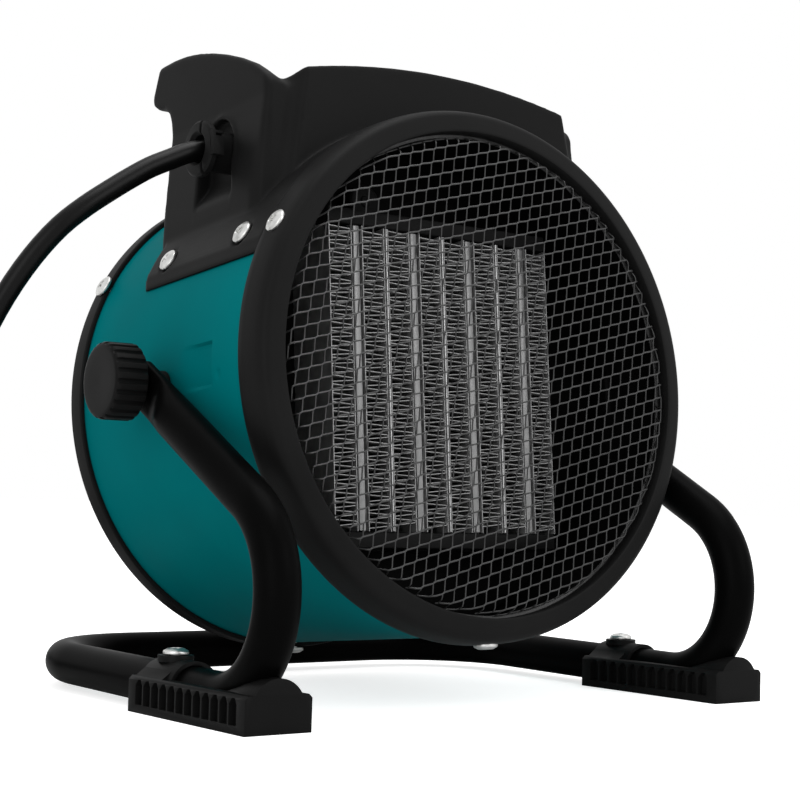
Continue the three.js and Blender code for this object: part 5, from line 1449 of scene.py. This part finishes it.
def panel_outline():
    """Outline with the drum's arc below and the finger pocket's notch above."""
    turn = math.acos(PANEL_BOTTOM / PANEL_ARC_RADIUS)
    angles = np.linspace(-turn, turn, PANEL_ARC_POINTS)
    arc = [(PANEL_ARC_RADIUS * math.sin(a), PANEL_ARC_RADIUS * math.cos(a)) for a in angles]
    corners = [(-PANEL_HALF_WIDTH, PANEL_BOTTOM), *arc, (PANEL_HALF_WIDTH, PANEL_BOTTOM)]
    corners += [
        (PANEL_HALF_WIDTH, PANEL_TOP), (POCKET_HALF_WIDTH, PANEL_TOP), (POCKET_HALF_WIDTH, POCKET_FLOOR),
        (-POCKET_HALF_WIDTH, POCKET_FLOOR), (-POCKET_HALF_WIDTH, PANEL_TOP), (-PANEL_HALF_WIDTH, PANEL_TOP),
    ]
    # The arc's points stay as they are, apart from its right end
    radii = [PANEL_ROUND] + [0] * (PANEL_ARC_POINTS - 1) + [PANEL_ROUND] * 8
    return rounded(corners, radii, closed=True)


def make_panel():
    outlines = [panel_outline(), circle(LENS_RADIUS + CLEAR, HOLE_SIDES, (LENS_X, LENS_Z))]
    outlines += [circle(DIAL_HOLE, HOLE_SIDES, (side * DIAL_SPREAD, DIAL_Z)) for side in (-1, 1)]
    dress(lay_on_drum(plate_object("rear_panel", outlines, PANEL_FRONT, PANEL_BACK, 0.5)), "control_panel")


def mark_part(points, width):
    """Thin raised line on the panel, as points in x and z."""
    return band_part(points, width, PANEL_BACK - MARK_SINK, PANEL_BACK + MARK_LIFT)


def make_marks():
    """Scales round the dials: steps for the mode dial, a growing arc for the thermostat."""
    parts = []
    for angle in np.radians(MARK_DEGREES):
        ends = [(-DIAL_SPREAD + r * math.cos(angle), DIAL_Z + r * math.sin(angle)) for r in MARK_RADII]
        parts.append(mark_part(ends, MARK_WIDTH))
    radius = SCALE_RADIUS
    angles = np.radians(np.linspace(*SCALE_DEGREES, SCALE_POINTS))
    arc = [(DIAL_SPREAD + radius * math.cos(a), DIAL_Z + radius * math.sin(a)) for a in angles]
    arc = [(x, min(z, PANEL_TOP - 0.8)) for x, z in arc]
    for points, widths in zip((arc[:SCALE_PART], arc[-SCALE_PART:]), SCALE_WIDTHS):
        parts.append(mark_part(points, np.linspace(*widths, SCALE_PART)))
    marks = solid_object("panel_marks", *join_parts(*parts), drum_to_world)
    marks.data.materials.append(white_plastic)
    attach(marks, "heater")


def make_dial(side, node):
    """Dial on its shaft, with a bar to hold it by and a white line on the bar."""
    x, radius = side * DIAL_SPREAD, DIAL_RADIUS
    front = PANEL_BACK + CLEAR
    back = front + DIAL_DEPTH
    start = HUMP_BACK - HOUSING_WALL - DIAL_SHAFT
    body = turned("dial_" + node, [
        (0, start), (3, start), (3, front), (radius, front), (radius, front + 2.7),
        (0.72 * radius, front + 3.4), (0.66 * radius, back - 2.2), (0, back - 2.0),
    ], [0, 0.3, 0.2, 0.4, 0.9, 0.9, 1.2, 0], 72, steps=4, centre=(x, 0, DIAL_Z))

    def dial_box(half, near, far, low, high):
        """Box on the dial; low and high are shares of the radius."""
        return box_part((x - half, near, DIAL_Z + low * radius), (x + half, far, DIAL_Z + high * radius))

    combine(body, "UNION", dial_box(radius / 4, front + 1, back, -0.88, 0.88), place=drum_to_world)
    combine(body, "DIFFERENCE", dial_box(0.45, back - 0.5, back + 1, 0.3, 1), place=drum_to_world)
    dress(bevel(body, 0.5, 3), node)
    pointer = dial_box(0.35, back - 0.48, back - 0.15, 0.34, 0.84)
    line = solid_object("pointer_" + node, *pointer, drum_to_world)
    line.data.materials.append(white_plastic)
    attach(line, BODY_OF[node])


def make_lens():
    front = PANEL_BACK + CLEAR
    radius, rim = LENS_RADIUS, 1.3 * LENS_RADIUS
    lens = turned("lens", [
        (0, LENS_START), (radius - 0.3, LENS_START), (radius, LENS_START + 0.5), (radius, front),
        (rim, front), (rim, front + 0.8), (radius, front + 1.3), (0, front + 1.5),
    ], [0, 0, 0, 0, 0.1, 0.3, 0.8, 0], 48, steps=4, centre=(LENS_X, 0, LENS_Z))
    dress(lens, "indicator_lens")


make_panel()
make_marks()
make_dial(1, "thermostat_dial")
make_dial(-1, "mode_dial")
make_lens()


# Cable gland: a round head with a slit and a clip, in the recess

GLAND_FACE = -90.2
GLAND_HEAD_RADIUS, GLAND_BODY_RADIUS, GLAND_LENGTH = 10.9, 8.0, 26.0
MOUTH_RADIUS, MOUTH_DEPTH = 6.6, 5.0


def gland_box(low, high):
    """Box on the gland; x counts from its face, y and z from its middle."""
    shift = np.array([GLAND_FACE, GLAND_Y, GLAND_Z])
    return box_part(low + shift, high + shift)


def make_gland():
    face, body, head = GLAND_FACE, GLAND_BODY_RADIUS, GLAND_HEAD_RADIUS
    floor, end = face + MOUTH_DEPTH, face + GLAND_LENGTH
    gland = turned("gland_head", [
        (0, floor), (MOUTH_RADIUS - 1, floor), (MOUTH_RADIUS - 1.2, face + 1.4), (MOUTH_RADIUS, face),
        (head - 0.9, face + 0.4), (head, face + 1.2), (head, face + 3.2), (head - 0.9, face + 4),
        (body, face + 4), (body, face + 16), (6, end), (0, end),
    ], [0, 0.2, 0.3, 0.6, 0.3, 0.3, 0.4, 0.3, 0.2, 0.5, 0.8, 0], 96, steps=3, axis="x",
        centre=(0, GLAND_Y, GLAND_Z))
    slit = gland_box((-1, -4, -head - 1), (3.2, -2.4, head + 1))
    flat = gland_box((-1, -head - 2, -12), (4.2, -head + 1, 12))
    tab = gland_box((0.6, -head - 1.2, -4.6), (5, -head + 2.4, 4.6))
    notch = gland_box((1.6, -head - 2, 2.6), (5.2, -head + 0.4, 3.6))
    combine(gland, "DIFFERENCE", slit, flat, place=drum_to_world)
    combine(gland, "UNION", tab, place=drum_to_world)
    combine(gland, "DIFFERENCE", notch, place=drum_to_world)
    dress(bevel(gland, 0.3, 2), "cable_gland")


make_gland()


# Clamp knobs and bushes on the pivot

KNOB_INNER = 111.7
KNOB_RADIUS, KNOB_LENGTH, KNOB_RIBS, RIB_HEIGHT = 14.4, 13.0, 22, 0.9
KNOB_SIDES = KNOB_RIBS * 12
COLLAR_RADIUS, COLLAR_DEPTH = 8.0, 1.4
STUD_RADIUS, STUD_END = 3.0, 90.0
BUSH_RADIUS, BUSH_START, BUSH_LENGTH = 5.2, 99.3, 6.3


def knob_ring(x, radius, rib_share):
    """Section of the knob: flat-topped ribs with narrow grooves."""
    angles = np.arange(KNOB_SIDES) / KNOB_SIDES * 2 * math.pi
    wave = np.cos(angles * KNOB_RIBS)
    reach = radius - smoothstep(-wave, -0.1, 0.75) * RIB_HEIGHT * rib_share
    return np.stack([np.full(KNOB_SIDES, x), reach * np.cos(angles), reach * np.sin(angles)], axis=1)


def make_knobs():
    start = KNOB_INNER + COLLAR_DEPTH
    outer = start + KNOB_LENGTH
    radius = KNOB_RADIUS
    # Places along the stud, with the radius and the share of the ribs' height there
    stations = [
        (STUD_END, STUD_RADIUS - 0.5, 0), (STUD_END + 0.5, STUD_RADIUS, 0), (KNOB_INNER, STUD_RADIUS, 0),
        (KNOB_INNER, COLLAR_RADIUS, 0), (start, COLLAR_RADIUS, 0), (start, radius - 1.2, 0),
        (start + 0.3, radius - 0.6, 0.6), (start + 0.8, radius, 1), (outer - 2.2, radius, 1),
        (outer - 1.3, radius - 0.15, 0.85), (outer - 0.7, radius - 0.5, 0.4), (outer - 0.3, radius - 1.0, 0),
        (outer - 0.05, radius - 1.7, 0), (outer, radius - 2.4, 0), (outer, radius - 6, 0),
        (outer - 0.25, 2, 0),
    ]
    bore, end = STUD_RADIUS + CLEAR, BUSH_START + BUSH_LENGTH
    profile = [(bore, BUSH_START), (BUSH_RADIUS, BUSH_START), (BUSH_RADIUS, end), (bore, end)]
    for name, side in (("left", -1), ("right", 1)):
        def place(points, side=side):
            return drum_to_world(points * np.array([side, 1, 1]) + PIVOT_IN_DRUM)

        grip = loft([knob_ring(*station) for station in stations])
        dress(mesh_object(name + "_grip_knob", *grip, place, angle=32), name + "_knob", knob_plastic)
        bush = turned(name + "_bush", profile, [0.2, 0.6, 0.6, 0.2], 64, closed=True, axis="x", place=place)
        dress(bush, name + "_pivot_washer")


make_knobs()


# Stand: one bent tube with flattened ends

TUBE_RADIUS = 8.0
TUBE_SIDES = 48
WORLD_PIVOT_Y, WORLD_PIVOT_Z = PIVOT[1:]
BEND_RADIUS, BEND_Y, BEND_Z = 35.5, -59.65, 44.7
REAR_BAR_Y, REAR_BAR_Z, REAR_CORNER = 95.15, 10.2, 48.0
FLAT_THICKNESS, FLAT_HALF_WIDTH, FLAT_REACH, FLAT_RAMP = 5.0, 8.8, 13.0, 18.0
FLAT_CAP, FLAT_STEPS = 5.8, 12
# The cap at the flattened end stops a little before its pole
CAP_SHARE = 0.97
BEND_STEPS, CORNER_STEPS = 40, 24
# How much squarer than round the flattened section is
FLAT_SQUARE = 0.6


def tube_ring(centre, direction, out, grow, flat=0.0):
    """Section of the tube; grow makes it wider all round, and flat is its share of flattening."""
    radius = TUBE_RADIUS + grow
    across = np.cross(direction, out)
    across /= np.linalg.norm(across)
    wide = radius + flat * (FLAT_HALF_WIDTH - TUBE_RADIUS)
    thick = radius + flat * (FLAT_THICKNESS / 2 - TUBE_RADIUS)
    angles = np.arange(TUBE_SIDES) / TUBE_SIDES * 2 * math.pi
    squeeze = np.sign(np.sin(angles)) * np.abs(np.sin(angles)) ** (1 - FLAT_SQUARE * flat)
    return centre + wide * np.outer(np.cos(angles), across) + thick * np.outer(squeeze, out)


def half_tube(side, grow):
    """Sections from the flattened end at the pivot down the leg, round the front bend and the rear corner."""
    out = np.array([side, 0, 0], float)
    pivot = np.array([side * TUBE_SPREAD, WORLD_PIVOT_Y, WORLD_PIVOT_Z])
    to_y, to_z = WORLD_PIVOT_Y - BEND_Y, WORLD_PIVOT_Z - BEND_Z
    tangent = math.atan2(to_z, to_y) + math.acos(BEND_RADIUS / math.hypot(to_y, to_z))
    touch = np.array([0, BEND_Y + BEND_RADIUS * math.cos(tangent), BEND_Z + BEND_RADIUS * math.sin(tangent)])
    leg = touch - np.array([0, WORLD_PIVOT_Y, WORLD_PIVOT_Z])
    leg /= np.linalg.norm(leg)
    rings = []
    for i in range(FLAT_STEPS):
        angle = (1 - i / FLAT_STEPS) * math.pi / 2 * CAP_SHARE
        ring = tube_ring(pivot, leg, out, grow, 1) - pivot
        scale = np.array([1, math.cos(angle), math.cos(angle)])
        rings.append(ring * scale + pivot - leg * FLAT_CAP * math.sin(angle))
    rings.append(tube_ring(pivot, leg, out, grow, 1))
    for i in range(FLAT_STEPS + 1):
        share = i / FLAT_STEPS
        flat = 1 - smoothstep(share, 0, 1)
        rings.append(tube_ring(pivot + leg * (FLAT_REACH + share * FLAT_RAMP), leg, out, grow, float(flat)))
    for angle in np.linspace(tangent, 1.5 * math.pi, BEND_STEPS):
        cos, sin = math.cos(angle), math.sin(angle)
        centre = np.array([pivot[0], BEND_Y + BEND_RADIUS * cos, BEND_Z + BEND_RADIUS * sin])
        rings.append(tube_ring(centre, np.array([0, -sin, cos]), out, grow))
    for angle in np.linspace(0, math.pi / 2, CORNER_STEPS):
        cos, sin = math.cos(angle), math.sin(angle)
        x, y = side * (TUBE_SPREAD - REAR_CORNER * (1 - cos)), REAR_BAR_Y - REAR_CORNER * (1 - sin)
        direction, outward = np.array([-side * sin, cos, 0]), np.array([side * cos, sin, 0])
        rings.append(tube_ring(np.array([x, y, REAR_BAR_Z]), direction, outward, grow))
    return rings


def tube_part(grow=0.0):
    left = half_tube(-1, grow)
    right = [ring * np.array([-1, 1, 1]) for ring in reversed(left)]
    return loft(left + right)


def make_stand():
    tube = mesh_object("bent_tube", *tube_part(), angle=50)
    reach = TUBE_SPREAD + 6
    stud = rod_part("x", -reach, reach, (WORLD_PIVOT_Y, WORLD_PIVOT_Z), STUD_RADIUS + CLEAR)
    low, high, bore = BOSS_TOP - SCREW_LENGTH - CLEAR, BOSS_TOP + 4, SHANK_RADIUS + CLEAR
    screws = [rod_part("z", low, high, (x, SHOE_SCREW_Y), bore) for x in (-TUBE_SPREAD, TUBE_SPREAD)]
    combine(tube, "DIFFERENCE", stud, *screws)
    dress(smooth(tube, 40), "stand_tube")


make_stand()


# Shoes: slotted blocks under the tube, each with a strap, a boss and one screw

SHOE_HALF_WIDTH = 12.9
SHOE_FRONT, SHOE_BACK = -98.3, -19.3
SHOE_SHOULDER, SHOE_EDGE = 12.8, 1.3
DOME_RADIUS = 10.4
# Distance from the front, and height of the dome's top there
DOME_LINE = [(0, 18.2), (10, 18.2), (20, 16.5), (30, 14.0), (36, 12.5)]
STRAP_Z, STRAP_RADIUS, STRAP_START, STRAP_LENGTH = 9.1, 10.0, 2.0, 22.0
BOSS_RADIUS, BOSS_NECK, BOSS_THICK = 6.4, 5.0, 2.2
SLOTS, SLOT_WIDTH, SLOT_PITCH, SLOT_DEPTH, SLOT_LOW, SLOT_HIGH = 12, 4.9, 5.8, 2.6, 2.9, 11.7


def slot_parts(x):
    """Row of slots in both sides of the shoe, each with slanting upper corners."""
    parts = []
    row = (SLOTS - 1) * SLOT_PITCH + SLOT_WIDTH
    first = SHOE_FRONT + (SHOE_BACK - SHOE_FRONT - row) / 2
    for i in range(SLOTS):
        start = first + i * SLOT_PITCH
        end = start + SLOT_WIDTH
        window = [
            (start, SLOT_LOW), (end, SLOT_LOW), (end, SLOT_HIGH - 2), (end - 1.8, SLOT_HIGH),
            (start + 1.2, SLOT_HIGH), (start, SLOT_HIGH - 2),
        ]
        for side in (-1, 1):
            ends = sorted((x + side * (SHOE_HALF_WIDTH - SLOT_DEPTH), x + side * (SHOE_HALF_WIDTH + 2)))
            parts.append(prism_part("x", window, *ends))
    return join_parts(*parts)


def make_shoe(name, side):
    x = side * TUBE_SPREAD
    half, edge, top = SHOE_HALF_WIDTH, SHOE_EDGE, SHOE_SHOULDER
    outline = [
        (x - half, 0), (x + half, 0), (x + half, top - edge), (x + half - edge, top), (x - half + edge, top),
        (x - half, top - edge),
    ]
    shoe = solid_object(name + "_foot", *prism_part("y", outline, SHOE_FRONT, SHOE_BACK))
    dome = loft([
        [(a, SHOE_FRONT + along, b) for a, b in circle(DOME_RADIUS, 96, (x, height - DOME_RADIUS))]
        for along, height in DOME_LINE
    ])
    strap_end = SHOE_BACK - STRAP_START
    strap = rod_part("y", strap_end - STRAP_LENGTH, strap_end, (x, STRAP_Z), STRAP_RADIUS, 96)
    foot, crest = half - 0.4, STRAP_Z + 7.6
    flank = prism_part("y", [
        (x - foot, top - 1), (x + foot, top - 1), (x + 6.2, crest), (x - 6.2, crest),
    ], strap_end - STRAP_LENGTH + 3, strap_end)
    boss = rod_part("z", BOSS_TOP - BOSS_THICK, BOSS_TOP, (x, SHOE_SCREW_Y), BOSS_RADIUS)
    neck = rod_part("z", top, BOSS_TOP - 0.5, (x, SHOE_SCREW_Y), BOSS_NECK)
    combine(shoe, "UNION", dome, strap, flank, neck, boss)
    below = box_part((x - 30, SHOE_FRONT - 5, -20), (x + 30, SHOE_BACK + 5, 0))
    hole = rod_part("z", top, BOSS_TOP + 4, (x, SHOE_SCREW_Y), SHANK_RADIUS + CLEAR, 32)
    combine(shoe, "DIFFERENCE", below, tube_part(CLEAR), hole, slot_parts(x))
    dress(bevel(shoe, 0.35, 2, angle=38), name + "_shoe", knob_plastic)


make_shoe("left", -1)
make_shoe("right", 1)


# Plug: a ribbed sleeve, a round grip and two pins

SLEEVE_RADIUS, SLEEVE_LENGTH, SLEEVE_RIBS, SLEEVE_PITCH = 5.6, 20.0, 5, 3.4
GRIP_RADIUS, GRIP_LENGTH, RIM_LENGTH = 11.0, 15.0, 11.0
PIN_RADIUS, PIN_LENGTH, PIN_SPACING = 2.4, 17.8, 19.0

plug_start = fine_route[-1] + plug_along * CLEAR
plug_turn = math.atan2(plug_along[1], plug_along[0])


def plug_place(points):
    """Turns X into the direction of the cord's end."""
    x, y, z = np.asarray(points, float).T
    cos, sin = math.cos(plug_turn), math.sin(plug_turn)
    return np.stack([x * cos - y * sin, x * sin + y * cos, z], axis=-1) + plug_start


def make_plug():
    profile = [(0, 0), (SLEEVE_RADIUS - 0.6, 0), (SLEEVE_RADIUS, 0.6)]
    for i in range(SLEEVE_RIBS):
        start = 1.6 + i * SLEEVE_PITCH
        radius = SLEEVE_RADIUS * (1 + 0.2 * start / SLEEVE_LENGTH)
        groove = radius - 0.9
        profile += [(radius, start), (groove, start + 0.4), (groove, start + 1.5)]
        profile += [(radius + 0.1, start + 1.9)]
    grip_end = SLEEVE_LENGTH + GRIP_LENGTH
    end = grip_end + RIM_LENGTH
    profile += rounded([
        (SLEEVE_RADIUS * 1.2, SLEEVE_LENGTH), (GRIP_RADIUS, SLEEVE_LENGTH + 5),
        (GRIP_RADIUS - 0.8, grip_end - 4), (GRIP_RADIUS + 0.5, grip_end), (PLUG_RADIUS, grip_end),
        (PLUG_RADIUS, end), (0, end),
    ], [1, 3, 3, 1.4, 2.2, 1.2, 0])
    body = mesh_object("plug_body", *lathe(profile, 96, closed=False, axis="x"), plug_place, angle=40)
    dress(body, "plug")
    start, tip = end - 2, end + PIN_LENGTH
    profile = [(0, start), (PIN_RADIUS, start), (PIN_RADIUS, tip), (0, tip)]
    pins = []
    for name, side in (("a", -1), ("b", 1)):
        centre = (0, side * PIN_SPACING / 2, 0)
        pin = turned("plug_pin_" + name, profile, [0, 0, 1.9, 0], 32, steps=6, axis="x", centre=centre,
                     place=plug_place)
        pin.data.materials.append(zinc)
        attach(pin, "stand")
        pins.append(pin)
    return body, pins


plug, plug_pins = make_plug()


# Stage: a pale floor, a white background and soft lamps

FLOOR_GLOW = 0.69
FLOOR_SHADE = 0.9
FLOOR_HALF = 30
WORLD_LIGHT = 0.7
LAMP_AIM = (0, 0, 0.1)


def make_floor():
    """Floor that catches shadows and glows a little towards the camera, so that it comes out nearly white."""
    made = Nodes("floor")
    made.shader.inputs["Base Color"].default_value = (FLOOR_SHADE, FLOOR_SHADE, FLOOR_SHADE, 1)
    made.shader.inputs["Roughness"].default_value = 0.9
    made.shader.inputs["Specular IOR Level"].default_value = 0.0
    glow = made.add("ShaderNodeEmission", Strength=FLOOR_GLOW)
    seen = made.add("ShaderNodeLightPath")
    mix = made.add("ShaderNodeMixShader")
    both = made.add("ShaderNodeAddShader")
    made.link(made.shader, "BSDF", both, 0)
    made.link(glow, "Emission", both, 1)
    made.link(seen, "Is Camera Ray", mix, 0)
    made.link(made.shader, "BSDF", mix, 1)
    made.link(both, "Shader", mix, 2)
    made.link(mix, "Shader", made.output, "Surface")
    corners = [(x * FLOOR_HALF, y * FLOOR_HALF, 0) for x, y in ((-1, -1), (1, -1), (1, 1), (-1, 1))]
    mesh = bpy.data.meshes.new("floor")
    mesh.from_pydata(corners, [], [(0, 1, 2, 3)])
    mesh.materials.append(made.material)
    floor = add_object("floor", mesh)


def make_world():
    """World that is white to the camera and in reflections, and dimmer as light."""
    world = bpy.data.worlds.new("studio")
    scene.world = world
    world.use_nodes = True
    nodes, links = world.node_tree.nodes, world.node_tree.links
    nodes.clear()
    output = nodes.new("ShaderNodeOutputWorld")
    mix = nodes.new("ShaderNodeMixShader")
    for socket, strength in ((1, WORLD_LIGHT), (2, 1.0)):
        white = nodes.new("ShaderNodeBackground")
        white.inputs["Color"].default_value = (1, 1, 1, 1)
        white.inputs["Strength"].default_value = strength
        links.new(white.outputs[0], mix.inputs[socket])
    path = nodes.new("ShaderNodeLightPath")
    seen = path.outputs["Is Camera Ray"]
    for other in ("Is Glossy Ray", "Is Transmission Ray"):
        either = nodes.new("ShaderNodeMath")
        either.operation = "MAXIMUM"
        links.new(seen, either.inputs[0])
        links.new(path.outputs[other], either.inputs[1])
        seen = either.outputs[0]
    links.new(seen, mix.inputs[0])
    links.new(mix.outputs[0], output.inputs["Surface"])


def lamp(name, place, size, power):
    """Soft lamp aimed at the middle of the object."""
    data = bpy.data.lights.new(name, "AREA")
    data.shape = "RECTANGLE"
    data.size, data.size_y = size
    data.energy = power
    obj = add_object(name, data)
    obj.location = place
    obj.rotation_mode = "QUATERNION"
    obj.rotation_quaternion = (Vector(LAMP_AIM) - Vector(place)).to_track_quat("-Z", "Y")


make_floor()
make_world()
lamp("key", (-1.5, -0.9, 0.6), (0.9, 1.2), 6.6)
lamp("fill", (0.7, -1.7, 1.0), (1.0, 1.0), 7.8)
lamp("top", (0.1, -0.2, 1.8), (1.2, 1.2), 16)
scene.view_settings.view_transform = "Standard"


# CAD nodes that stay take the material of their slot
for name, slot in SLOT_OF.items():
    node = frame["nodes"][name]
    node.data.materials.clear()
    node.data.materials.append(MATERIALS[slot])
